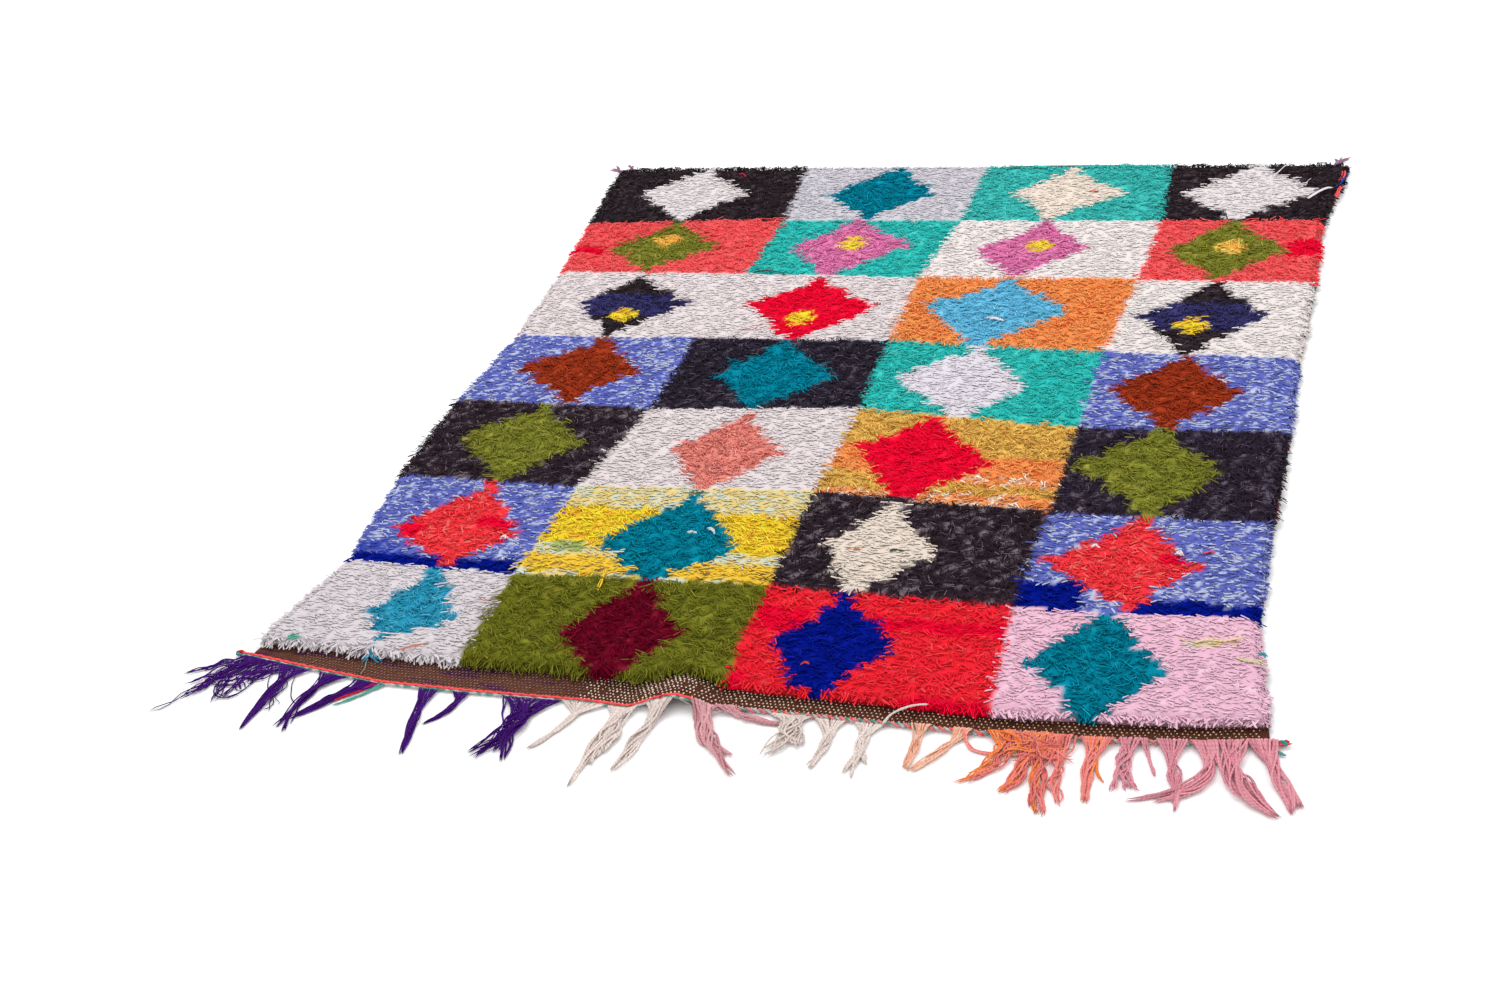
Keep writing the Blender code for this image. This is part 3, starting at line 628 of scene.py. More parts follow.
def lay_strands(row, rng):
    """Roots, middles and tips of all strands of a row of blocks, their yarn and
    half width. Those at an outer edge lean out over it and hang down."""
    lines = np.arange(5)
    depth = np.mean(BLOCK_EDGES[row + 1] - BLOCK_EDGES[row])
    rows = round(depth / KNOT_ROW_PITCH)
    roots = []
    for number in range(rows):
        share = (number + 0.5) / rows
        middle_y = np.mean(BLOCK_EDGES[row] * (1 - share) + BLOCK_EDGES[row + 1] * share)
        line_places = np.array([line_x(line, middle_y) for line in lines])
        x = np.arange(line_places[0] + 0.002, line_places[4] - 0.002, STRAND_PITCH)
        x = x + rng.uniform(-0.0016, 0.0016, len(x)) + 0.002 * (number % 2)
        near = np.interp(x, line_places, BLOCK_EDGES[row])
        far = np.interp(x, line_places, BLOCK_EDGES[row + 1])
        if row == 0:
            near = pile_foot_y(x)
        y = near + (far - near) * share + rng.uniform(-0.0022, 0.0022, len(x))
        roots.append(np.stack((x, y, np.full(len(x), share)), axis=1))
    for edge, inset in ((0, 0.002), (0, 0.006), (4, -0.002), (4, -0.006)):
        near, far = BLOCK_EDGES[row][edge], BLOCK_EDGES[row + 1][edge]
        if row == 0:
            near = pile_foot_y(line_x(edge, near))
        y = np.arange(near, far, RIM_PITCH)
        x = line_x(edge, y) + inset + rng.uniform(-0.0015, 0.0015, len(y))
        roots.append(np.stack((x, y, (y - near) / (far - near)), axis=1))
    if row in (0, 6):
        end_y = 0.83 if row else -0.83
        for inset in (0.002, 0.006):
            x = np.arange(line_x(0, end_y) + 0.004, line_x(4, end_y) - 0.004, 1.3 * RIM_PITCH)
            back = inset + rng.uniform(-0.0015, 0.0015, len(x))
            if row:
                y = np.interp(x, [line_x(line, end_y) for line in lines], BLOCK_EDGES[7]) - back
            else:
                y = pile_foot_y(x) + back
            roots.append(np.stack((x, y, 1 - back / depth if row else back / depth), axis=1))
    x, y, share = np.concatenate(roots).T
    yarn = chart_yarns(x + rng.uniform(-0.003, 0.003, len(x)), y, row)
    looks = [YARNS[name] for name in YARNS]
    width, reach, curl, one_way = np.array([look[4:8] for look in looks])[yarn].T
    column = sum((x > line_x(line, y)).astype(int) for line in (1, 2, 3))
    height = PILE_HEIGHT_MM[row][column] / 1000
    uneven = np.array([UNEVENNESS[look[0]] for look in looks])[yarn]
    height = height + 0.004 * uneven * (clump_values(rng, x, y, CLUMP_WIDTH, CLUMP_DEPTH) - 0.5)
    height = height * (1 + 0.16 * uneven * (rng.random(len(x)) - 0.5))
    clump = clump_values(rng, x, y, CLUMP_WIDTH, CLUMP_DEPTH)
    to_right = np.where(rng.random(len(x)) < one_way, clump > 0.45, rng.random(len(x)) > 0.5)
    swirl = clump_values(rng, x, y, CLUMP_WIDTH, CLUMP_DEPTH) - 0.5
    tilt = np.radians(14 + 12 * uneven + (5 + 10 * uneven) * rng.normal(0, 1, len(x)) + 50 * uneven * swirl)
    near_edge = np.clip(1 - share * depth / 0.012, 0, 1)
    tilt = tilt + near_edge * np.radians(45)
    heading = np.where(to_right, -tilt, np.pi + tilt)
    reach = reach / 1000 * rng.uniform(0.65, 1.2, len(x))
    droop = 0.35 * near_edge
    pull = np.stack((CLUMP_PULL * uneven, CLUMP_PULL * uneven), axis=1)
    tuft = clump_values(rng, x, y, 1.0, CLUMP_DEPTH)
    for edge, outward, rim_reach in ((0, np.pi, 0.60), (4, 0.0, 0.12)):
        inward = abs(line_x(edge, y) - x)
        rim = inward < RIM_WIDTH * (0.45 + 0.75 * rng.random(len(x)))
        heading[rim] = outward + rng.normal(0, 0.45, rim.sum())
        reach[rim] *= rim_reach + 0.85 * tuft[rim]
        pull[rim] = 0.0, 0.75
        width[rim] *= 1.1
        level = np.minimum(inward[rim] / RIM_WIDTH, 1)
        droop[rim] = np.maximum(droop[rim], 0.65 * (1 - level))
        height[rim] *= 0.72 + 0.28 * level
    for end, outward, row_share, fall, low in ((0, -np.pi / 2, share, 0.7, 0.78), (6, np.pi / 2, 1 - share, 0.3, 1)):
        rim = (row_share * depth < RIM_WIDTH) & (row == end) & (rng.random(len(x)) < 0.7)
        heading[rim] = outward + rng.normal(0, 0.95, rim.sum())
        fallen = fall * np.where(x[rim] > 0.03, 0.5, 1)
        droop[rim] = np.maximum(droop[rim], fallen * (1 - row_share[rim] * depth / RIM_WIDTH))
        height[rim] *= low
        reach[rim] *= np.where(x[rim] > 0.03, 0.3, 0.5) + 0.6 * clump_values(rng, x, y, CLUMP_WIDTH, 1.0)[rim]
        pull[rim] = 0.65, 0.0
    ahead = np.stack((np.cos(heading), np.sin(heading), np.zeros(len(x))), axis=1)
    beside = np.stack((-np.sin(heading), np.cos(heading), np.zeros(len(x))), axis=1)
    upward = np.array((0, 0, 1.0))
    bend = (curl / 1000 * rng.normal(0, 1, len(x)))[:, None]
    root = np.stack((x, y, PILE_FOOT_Z + pucker_lift(x, y)), axis=1)
    crown = root + ahead * (reach * 0.12)[:, None] + upward * (height * (0.88 - 0.3 * droop))[:, None]
    end_rise = height * (1 - 0.22 * uneven * rng.random(len(x))) * (1 - droop)
    end = root + ahead * reach[:, None] + upward * end_rise[:, None] + beside * bend
    clump_centre = np.stack((
        (np.floor(x / CLUMP_WIDTH) + 0.5) * CLUMP_WIDTH, (np.floor(y / CLUMP_DEPTH) + 0.5) * CLUMP_DEPTH), axis=1)
    end[:, :2] += pull * (clump_centre - root[:, :2])
    tip = end + ahead * 0.0018 + beside * bend * 0.3 - upward * 0.0006
    for point in (end, tip):
        point[:, 2] = np.maximum(point[:, 2], 0.0025)
    return np.stack((root, crown, end, tip), axis=1), beside, yarn, width / 2000


def colour_strands(yarn, x, y, rng):
    """The lot's colour for each strand, a little lighter or darker from knot to
    knot, with flecks in small clumps; and True for a fleck that is a thin yarn."""
    looks = list(YARNS.values())
    lots = np.array([linear(look[1]) for look in looks])
    flecks = np.array([linear(look[2]) for look in looks])
    share = np.array([look[3] for look in looks])
    spread = np.array([DYE_SPREAD[look[0]] for look in looks])[yarn]
    clumped = np.isin(np.array(list(YARNS)), CLUMPED_FLECKS)[yarn]
    chance = np.where(clumped, clump_values(rng, x, y, 0.009, 0.0075), rng.random(len(x)))
    flecked = chance < share[yarn]
    colour = np.where(flecked[:, None], flecks[yarn], lots[yarn])
    dye = 1 + spread * (0.6 * rng.uniform(-1, 1, len(x)) + 0.8 * (clump_values(rng, x, y, 0.011, 0.0075) - 0.5))
    thin = flecked & np.isin(np.array(list(YARNS)), THIN_FLECKS)[yarn]
    gain = np.array([COLOUR_GAIN[look[0]] for look in looks])[yarn]
    return np.minimum(colour * (gain * dye)[:, None], 0.93), thin


def make_pile_row(row, materials):
    rng = np.random.default_rng(100 + row)
    centres, beside, yarn, half_width = lay_strands(row, rng)
    colour, thin = colour_strands(yarn, centres[:, 0, 0], centres[:, 0, 1], rng)
    half_width = half_width * np.where(thin, 0.5, 1)
    count = len(yarn)
    radii = half_width[:, None] * np.array((0.78, 0.86)) * rng.uniform(0.75, 1.2, (count, 1))
    side = np.repeat(beside[:, None], 2, axis=1)
    finishes = np.array([list(materials).index(YARNS[name][0]) for name in YARNS])[yarn]
    nap = np.array([NAP[YARNS[name][0]] for name in YARNS])[yarn]
    piece = yarn_mesh(
        f"pile_row_{row + 1}", centres, radii, side, colour, 3, STRAND_FLATNESS, finishes, nap)
    for material in materials.values():
        piece.data.materials.append(material)
    return piece


def make_pile_bed(material):
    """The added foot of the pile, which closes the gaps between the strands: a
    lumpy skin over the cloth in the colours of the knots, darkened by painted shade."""
    bpy.ops.object.select_all(action="DESELECT")
    bpy.ops.mesh.primitive_grid_add(x_subdivisions=BED_COLUMNS, y_subdivisions=BED_ROWS, size=1)
    bed = bpy.context.object
    bed.name = bed.data.name = "pile_bed"
    bpy.ops.object.mode_set(mode="EDIT")
    bpy.ops.mesh.select_all(action="DESELECT")
    bpy.ops.mesh.select_non_manifold(extend=False)
    bpy.ops.mesh.extrude_edges_move(TRANSFORM_OT_translate={"value": (0, 0, -1)})
    bpy.ops.mesh.edge_face_add()
    bpy.ops.object.mode_set(mode="OBJECT")
    places = np.empty(len(bed.data.vertices) * 3)
    bed.data.vertices.foreach_get("co", places)
    across, along, level = places.reshape(-1, 3).T
    across, along = across + 0.5, along + 0.5
    near_x = line_x(0, -0.82) + (line_x(4, -0.82) - line_x(0, -0.82)) * across
    near, far = pile_foot_y(near_x) + BED_INSET, ROW_LINES[-1, 0] - BED_INSET
    y = near + (far - near) * along
    left, right = line_x(0, y) + BED_INSET, line_x(4, y) - BED_INSET
    x = left + (right - left) * across
    rng = np.random.default_rng(17)
    edge = np.minimum(np.minimum(x - left, right - x) + 0.006, np.minimum(y - near + 0.004, far - y + 0.009))
    rise = np.clip(0.35 + edge / 0.02, 0, 1)
    line_places = np.array([[line_x(line, value) for line in range(5)] for value in (-0.6, 0, 0.6)]).mean(axis=0)
    yarn = np.zeros(len(x), int)
    height = np.zeros(len(x))
    for row in range(len(BLOCKS)):
        near_edge = np.interp(x, line_places, BLOCK_EDGES[row])
        here = y >= (near_edge if row else -1)
        yarn[here] = chart_yarns(x[here], y[here], row)
        column = sum((x[here] > line_x(line, y[here])).astype(int) for line in (1, 2, 3))
        height[here] = PILE_HEIGHT_MM[row][column] / 1000
    uneven = np.array([UNEVENNESS[look[0]] for look in YARNS.values()])[yarn]
    lumps = BED_LUMPS * uneven * (clump_values(rng, x, y, 0.011, 0.0075) - 0.5)
    bed_share = np.array([BED_SHARE[look[0]] for look in YARNS.values()])[yarn]
    bed_painted_shade = np.array([BED_PAINTED_SHADE[look[0]] for look in YARNS.values()])[yarn]
    z = np.where(level < -0.5, PILE_FOOT_Z - 0.001, PILE_FOOT_Z + (height * bed_share + lumps) * rise)
    bed.data.vertices.foreach_set("co", np.stack((x, y, z + pucker_lift(x, y)), axis=1).ravel())
    shade = np.ones((len(x), 4))
    # Painted shade: the knots' colours darken on the foot of the pile, for the shade in the gaps between the strands.
    shade[:, :3] = colour_strands(yarn, x, y, rng)[0] * bed_painted_shade[:, None]
    bed.data.attributes.new("strand_colour", "FLOAT_COLOR", "POINT").data.foreach_set("color", shade.ravel())
    strand = np.stack((rng.random(len(x)), np.full(len(x), 0.5), rng.random(len(x)) * 0.02), axis=1)
    bed.data.attributes.new("strand", "FLOAT_VECTOR", "POINT").data.foreach_set("vector", strand.ravel())
    bed.data.update()
    bed.data.shade_smooth()
    bed.data.materials.append(material)
    return bed


pile_materials = {
    "wool": make_yarn_material("pile_wool", 0.97, 0.01, 2.6, 0.38, 0.20),
    "cotton": make_yarn_material("pile_cotton", 0.95, 0.02, 2.0, 0.94, 0.06),
    "synthetic": make_yarn_material("pile_synthetic", 0.80, 0.02, 1.4, 0.48, 0.14),
}
pile_rows = [make_pile_row(row, pile_materials) for row in range(len(BLOCKS))]
pile_bed = make_pile_bed(pile_materials["wool"])
for pile_piece in [*pile_rows, pile_bed]:
    finish_piece(pile_piece, "pile")


def colour_knot_backs(cloth):
    """The colours of the knots on the cloth that carries them."""
    places = np.empty(len(cloth.data.vertices) * 3)
    cloth.data.vertices.foreach_get("co", places)
    x, y = places.reshape(-1, 3)[:, :2].T
    backs = np.zeros((len(x), 4))
    row = np.clip(np.searchsorted(ROW_LINES[:, 0], y) - 1, 0, 6)
    lots = np.array([linear(look[1]) for look in YARNS.values()])
    for number in range(len(BLOCKS)):
        here = row == number
        backs[here, :3] = lots[chart_yarns(x[here], y[here], number)] * 0.8
    backs[:, 3] = (y > pile_foot_y(x) + 0.004) & (y < ROW_LINES[-1, 0] - 0.002)
    attribute = cloth.data.attributes.new("knot_backs", "FLOAT_COLOR", "POINT")
    attribute.data.foreach_set("color", backs.ravel())


colour_knot_backs(ground_cloth)


# Flecked hem
# Cream warps float over the brown wefts of the near hem in small raised dots,
# from just left of the pucker to the right corner. Left of there fine mauve grey
# ones show, close to the cord. The last stretch at the right is plain brown.
FLOAT_PITCH_X = (0.0060, 0.0070)
FLOAT_PITCH_Y = 0.0058
FLOAT_LENGTH = 0.0019
FLOAT_RADIUS = 0.0016
DIM_START = -0.660
FLOATS_START = -0.185
FLOATS_END = 0.744
DIM_WIDTH = 0.050
FLOAT_LIGHT = (0.93, 0.78, 0.63)
FLOAT_TAN = (0.88, 0.56, 0.37)
FLOAT_DIM = (0.38, 0.21, 0.20)


def make_hem_floats():
    rng = np.random.default_rng(31)
    places = []
    columns = [DIM_START]
    while columns[-1] < FLOATS_END:
        columns.append(columns[-1] + np.interp(columns[-1], (0, 0.3), FLOAT_PITCH_X))
    columns = np.array(columns)
    for number in range(int(0.07 / FLOAT_PITCH_Y)):
        x = columns + 0.0032 * (number % 2)
        y = cord_y(x) + CORD_RADIUS + 0.0015 + number * FLOAT_PITCH_Y
        on_hem = (y < pile_foot_y(x) + 0.004) & ((x > FLOATS_START) | (number * FLOAT_PITCH_Y < DIM_WIDTH))
        places.append(np.stack((x, y), axis=1)[on_hem])
    x, y = np.concatenate(places).T
    x, y = x + rng.normal(0, 0.0004, len(x)), y + rng.normal(0, 0.0004, len(x))
    keep = rng.random(len(x)) > 0.05
    x, y = x[keep], y[keep]
    dim = x < FLOATS_START + rng.uniform(-0.004, 0.016, len(x))
    size = rng.uniform(0.75, 1.25, (len(x), 1)) * (1 - 0.1 * np.clip(x / 0.3, 0, 1) - 0.3 * dim)[:, None]
    reach = np.stack((0.9 * dim, np.ones(len(x)) + 0.4 * dim, np.zeros(len(x))), axis=1) * size * FLOAT_LENGTH
    rise = CLOTH_THICKNESS + 0.0006 + 0.0007 * dim
    centre = np.stack((x, y, rise + hem_waves(x) + pucker_lift(x, y)), axis=1)
    centres = np.stack((centre - reach, centre, centre + reach), axis=1)
    side = np.tile(np.array((1.0, 0, 0)), (len(x), 1, 1))
    tan = (np.clip(x / 0.35, 0, 1) * rng.uniform(0.6, 1, len(x)))[:, None]
    colour = np.array(FLOAT_LIGHT) * (1 - tan) + np.array(FLOAT_TAN) * tan
    colour = np.where(dim[:, None], FLOAT_DIM, colour) * rng.uniform(0.8, 1.1, (len(x), 1))
    return yarn_mesh("hem_floats", centres, size * FLOAT_RADIUS, side, colour, 4, 0.8)


hem_floats = make_hem_floats()
hem_floats.data.materials.append(pile_materials["cotton"])
finish_piece(hem_floats, "pile")


# Twined cord
# Two thick yarns twined across the warps at the near edge, which hold the
# wefts. At the left the coral red one covers the grey green one; at the right
# they change places stitch by stitch. A knot ends them at each side.
CORD_START = -0.774
CORD_END = 0.790
CORD_STEP = 0.0032
PLY_RADIUS = 0.0021
PLY_TURN = 0.017
CORD_LOTS = {
    "coral": (246, 84, 84), "pale_grey": (182, 184, 184), "green": (84, 150, 138), "rose": (214, 128, 130),
    "dark_red": (176, 30, 52), "teal": (60, 142, 142),
}


def make_twined_cord():
    rng = np.random.default_rng(41)
    x = np.arange(CORD_START, CORD_END, CORD_STEP)
    y = cord_y(x)
    lots = {name: linear(colour) for name, colour in CORD_LOTS.items()}
    twining = np.clip((x + 0.02) / 0.08, 0, 1)
    ends = np.exp(-((x - CORD_START - 0.008) / 0.006) ** 2) + np.exp(-((x - CORD_END + 0.007) / 0.006) ** 2)
    stitch = np.floor(x / 0.0064).astype(int)
    plies, colours = [], []
    for number, turn in enumerate((0, np.pi)):
        angle = turn + 2 * np.pi * x / PLY_TURN + 0.9 * np.sin(x * 37)
        set_back = (0.0011, -0.0017)[number] * (1 - twining)
        raised = (0.0014, -0.0004)[number] * (1 - twining)
        wobble = 0.0004 + 0.0015 * twining
        z = CORD_RADIUS + 0.0005 * twining + pucker_lift(x, y) + raised + wobble * np.sin(angle)
        plies.append(np.stack((x, y + set_back + wobble * np.cos(angle), z), axis=1))
        if number == 0:
            colour = np.where(twining[:, None] < 0.5, lots["coral"], lots["rose"])
            colour = np.where((rng.random(300)[stitch % 300] < 0.22)[:, None], lots["coral"], colour)
        else:
            colour = np.where((rng.random(300)[stitch % 300] < 0.5)[:, None], lots["pale_grey"], lots["green"])
        knot = (lots["dark_red"], lots["teal"])[number]
        colour = np.where(ends[:, None] > 0.2, knot, colour)
        colours.append(colour * rng.uniform(0.9, 1.1, (len(x), 1)))
    centres, colour = np.stack(plies), np.stack(colours)
    ahead = centres[:, 2:] - centres[:, :-2]
    side = np.stack((-ahead[:, :, 1], ahead[:, :, 0], 0 * ahead[:, :, 0]), axis=2)
    side /= np.linalg.norm(side, axis=2, keepdims=True)
    radii = PLY_RADIUS * rng.uniform(0.9, 1.1, ahead.shape[:2]) * (1 + 0.75 * ends[1:-1])
    radii[1] *= 0.85
    centres[:, :, 2] += 0.0015 * ends
    return yarn_mesh("twined_cord", centres, radii, side, colour, 6)


def make_twisted_yarn_material(name, roughness, turns):
    """Plied yarn: its plies wind round it as soft ridges, with a little fuzz and
    painted shade that darkens the grooves between the plies along its length."""
    material, tree, shader = start_material(name, roughness, 0.02, 0.04)
    lot = add_node(tree, "ShaderNodeAttribute", {"attribute_name": "strand_colour"})
    strand = add_node(tree, "ShaderNodeAttribute", {"attribute_name": "strand"})
    around = add_node(tree, "ShaderNodeAttribute", {"attribute_name": "around"})
    parts = add_node(tree, "ShaderNodeSeparateXYZ", Vector=strand.outputs["Vector"])
    turned = add_node(tree, "ShaderNodeMath", {"operation": "MULTIPLY"}, i0=parts.outputs["Z"], i1=turns * math.tau)
    sine = add_node(tree, "ShaderNodeMath", {"operation": "SINE"}, i0=turned.outputs["Value"])
    cosine = add_node(tree, "ShaderNodeMath", {"operation": "COSINE"}, i0=turned.outputs["Value"])
    winding = add_node(
        tree, "ShaderNodeCombineXYZ", X=sine.outputs["Value"], Y=cosine.outputs["Value"])
    ridges = add_node(
        tree, "ShaderNodeVectorMath", {"operation": "DOT_PRODUCT"},
        i0=around.outputs["Vector"], i1=winding.outputs["Vector"])
    height = add_node(tree, "ShaderNodeMapRange", Value=ridges.outputs["Value"], i1=-1.0, i2=1.0)
    # Painted shade: the colour darkens in the grooves between the plies, where the bump is low.
    plies = mix_colours(tree, height.outputs["Result"], (0.86, 0.86, 0.86), (1.10, 1.10, 1.10))
    colour = mix_colours(tree, 1.0, lot.outputs["Color"], plies, "MULTIPLY")
    place = scaled_place(tree, (700, 700, 700))
    fuzz = add_node(tree, "ShaderNodeTexNoise", Vector=place, Scale=1, Detail=4)
    fuzz_shade = mix_colours(tree, fuzz.outputs["Fac"], (0.90, 0.90, 0.90), (1.10, 1.10, 1.10))
    colour = mix_colours(tree, 1.0, colour, fuzz_shade, "MULTIPLY")
    tree.links.new(colour, shader.inputs["Base Color"])
    add_bump(tree, shader, height.outputs["Result"], 0.6, 0.0006)
    return material


twined_cord = make_twined_cord()
twined_cord.data.materials.append(make_twisted_yarn_material("cord_yarn", 0.8, 110))
finish_piece(twined_cord, "edge_yarn", "edge_twining")


# Tassels
# Warp ends and added yarns hang out past the cord in uneven bundles. Each
# starts wide at the cord, draws together at a waist and lies on the floor; the
# pink and coral ones loop over the cord, the others come from under it.
YARN_RINGS = 14
# Radius in mm, whether it loops over the cord, light and dark end of its colours
TASSEL_LOTS = {
    "purple": (1.15, False, (76, 26, 122), (54, 16, 92)),
    "cream": (1.75, False, (224, 211, 204), (204, 188, 181)),
    "pink": (1.75, True, (223, 156, 166), (204, 132, 146)),
    "dusty_pink": (1.9, True, (214, 164, 168), (190, 130, 138)),
    "coral_pink": (1.55, True, (230, 142, 134), (216, 114, 110)),
    "orange": (1.5, True, (242, 152, 94), (230, 120, 66)),
    "pale_orange": (1.6, True, (234, 190, 168), (226, 166, 138)),
    "red": (1.4, False, (196, 30, 60), (206, 40, 60)),
    "green": (1.4, False, (80, 160, 145), (90, 170, 150)),
    "dark_thread": (0.8, False, (52, 24, 84), (60, 30, 92)),
    "mauve": (1.3, False, (158, 122, 146), (128, 94, 118)),
}
# Lot, lowest and highest x of the roots, waist x and y, half width there in mm,
# number of yarns, waviness in mm, then x and y of each tip
TASSELS = {
    "fringe_purple": (
        ("purple", -0.752, -0.728, -0.790, -0.868, 7, 6, 5.0, (-0.835, -0.897), (-0.806, -0.885)),
        ("purple", -0.745, -0.712, -0.775, -0.885, 8, 6, 6.0, (-0.815, -0.918), (-0.782, -0.935)),
        ("purple", -0.742, -0.700, -0.778, -0.905, 8, 7, 6.0, (-0.806, -0.955), (-0.796, -0.930)),
        ("purple", -0.730, -0.690, -0.752, -0.905, 9, 7, 7.0, (-0.752, -0.958), (-0.765, -0.925)),
        ("purple", -0.712, -0.655, -0.728, -0.900, 8, 8, 5.5, (-0.738, -0.942), (-0.716, -0.925)),
        ("purple", -0.700, -0.650, -0.705, -0.886, 8, 6, 4.0, (-0.716, -0.905), (-0.745, -0.895)),
        ("dark_thread", -0.748, -0.742, -0.800, -0.930, 1, 2, 6.0, (-0.848, -1.004), (-0.840, -0.994)),
        ("purple", -0.689, -0.627, -0.664, -0.912, 9, 22, 1.5, (-0.671, -1.002)),
        ("dark_thread", -0.672, -0.668, -0.652, -0.920, 1, 2, 8.0, (-0.640, -0.950), (-0.652, -0.965)),
        ("purple", -0.613, -0.558, -0.603, -0.912, 8.5, 20, 1.5, (-0.619, -0.993), (-0.599, -0.997)),
        ("purple", -0.546, -0.494, -0.562, -0.922, 9, 20, 1.5, (-0.603, -0.970), (-0.594, -0.960)),
        ("red", -0.508, -0.500, -0.532, -0.902, 2, 3, 1.0, (-0.562, -0.925)),
        ("green", -0.500, -0.494, -0.520, -0.905, 2, 3, 1.0, (-0.552, -0.935)),
        ("purple", -0.436, -0.404, -0.411, -0.945, 8, 17, 1.5, (-0.395, -1.018)),
        ("purple", -0.380, -0.352, -0.366, -0.912, 6, 13, 1.5, (-0.392, -0.952)),
        ("purple", -0.300, -0.206, -0.254, -0.930, 17, 38, 2.0,
         (-0.297, -1.004), (-0.284, -1.012), (-0.257, -0.994), (-0.240, -1.009)),
        ("purple", -0.297, -0.290, -0.284, -0.915, 1, 2, 1.0, (-0.266, -0.942)),
    ),
    "fringe_cream_left": (
        ("cream", -0.204, -0.137, -0.178, -0.912, 5, 20, 1.0, (-0.214, -0.980)),
        ("cream", -0.134, -0.088, -0.107, -0.935, 14, 24, 2.0, (-0.116, -0.985), (-0.104, -0.975)),
        ("cream", -0.122, -0.100, -0.120, -0.965, 9, 14, 2.0, (-0.127, -1.045), (-0.112, -0.998)),
        ("cream", -0.076, -0.036, -0.057, -0.905, 6, 13, 1.5, (-0.072, -0.958)),
        ("cream", -0.064, -0.048, -0.064, -0.945, 11, 12, 2.0, (-0.079, -1.012), (-0.070, -0.985)),
    ),
    "fringe_pink_middle": (
        ("dusty_pink", -0.010, 0.032, 0.010, -0.900, 6, 10, 1.0, (0.036, -0.938)),
        ("dusty_pink", -0.004, 0.020, 0.036, -0.928, 11, 14, 3.0, (0.092, -0.990), (0.080, -0.956), (0.062, -0.955)),
        ("cream", -0.040, -0.036, -0.022, -0.858, 1.5, 3, 1.0, (0.000, -0.890)),
        ("dusty_pink", 0.022, 0.052, 0.072, -0.876, 5, 11, 2.5, (0.125, -0.884), (0.112, -0.878)),
    ),
    "fringe_cream_right": (
        ("cream", 0.103, 0.164, 0.142, -0.890, 17, 28, 6.0, (0.148, -0.910), (0.167, -0.923), (0.120, -0.949)),
        ("cream", 0.168, 0.212, 0.197, -0.910, 7, 14, 2.0, (0.189, -0.961)),
        ("cream", 0.224, 0.266, 0.246, -0.905, 8, 18, 2.5, (0.234, -0.963), (0.248, -0.972), (0.264, -0.944)),
    ),
    "fringe_coral": (
        ("pale_orange", 0.304, 0.332, 0.317, -0.905, 7, 10, 1.5, (0.314, -0.944)),
        ("pale_orange", 0.362, 0.388, 0.354, -0.904, 6, 10, 1.5, (0.322, -0.948)),
        ("coral_pink", 0.372, 0.378, 0.392, -0.894, 2, 3, 1.0, (0.447, -0.891)),
        ("orange", 0.405, 0.440, 0.428, -0.905, 8, 8, 5.0, (0.387, -0.961), (0.400, -0.945)),
        ("coral_pink", 0.420, 0.455, 0.436, -0.910, 8, 7, 5.0, (0.399, -0.962), (0.412, -0.950)),
        ("coral_pink", 0.430, 0.480, 0.465, -0.925, 11, 9, 5.0, (0.449, -0.976), (0.460, -0.960)),
        ("orange", 0.440, 0.480, 0.466, -0.920, 8, 5, 5.0, (0.442, -0.970)),
        ("coral_pink", 0.455, 0.510, 0.490, -0.938, 13, 12, 5.0, (0.504, -1.005), (0.486, -0.990), (0.496, -1.000)),
        ("orange", 0.470, 0.510, 0.486, -0.930, 8, 5, 4.0, (0.498, -1.000)),
        ("coral_pink", 0.490, 0.524, 0.510, -0.920, 8, 8, 5.5, (0.521, -0.984), (0.506, -0.958)),
        ("orange", 0.405, 0.500, 0.465, -0.882, 15, 18, 8.0, (0.425, -0.896), (0.500, -0.905), (0.520, -0.882)),
        ("coral_pink", 0.425, 0.520, 0.480, -0.888, 17, 15, 9.0, (0.445, -0.905), (0.530, -0.900), (0.470, -0.915)),
        ("coral_pink", 0.528, 0.572, 0.549, -0.915, 8, 13, 2.5, (0.556, -0.975)),
        ("orange", 0.540, 0.556, 0.556, -0.905, 4, 4, 1.5, (0.572, -0.934), (0.552, -0.975)),
    ),
    "fringe_pink_right": (
        ("pink", 0.579, 0.606, 0.590, -0.895, 9, 12, 4.0, (0.604, -0.944), (0.616, -0.944), (0.581, -0.954)),
        ("pink", 0.606, 0.612, 0.624, -0.893, 2, 3, 1.5, (0.634, -0.914)),
        ("pink", 0.622, 0.664, 0.656, -0.905, 9, 12, 2.0, (0.664, -0.971)),
        ("pink", 0.664, 0.694, 0.694, -0.905, 10, 14, 2.0, (0.604, -0.960), (0.637, -0.958), (0.650, -0.948)),
        ("pink", 0.688, 0.742, 0.732, -0.908, 18, 26, 2.0, (0.789, -0.964), (0.779, -0.958), (0.770, -0.950)),
        ("pink", 0.734, 0.774, 0.785, -0.900, 12, 18, 1.5, (0.804, -0.956), (0.812, -0.944)),
    ),
}


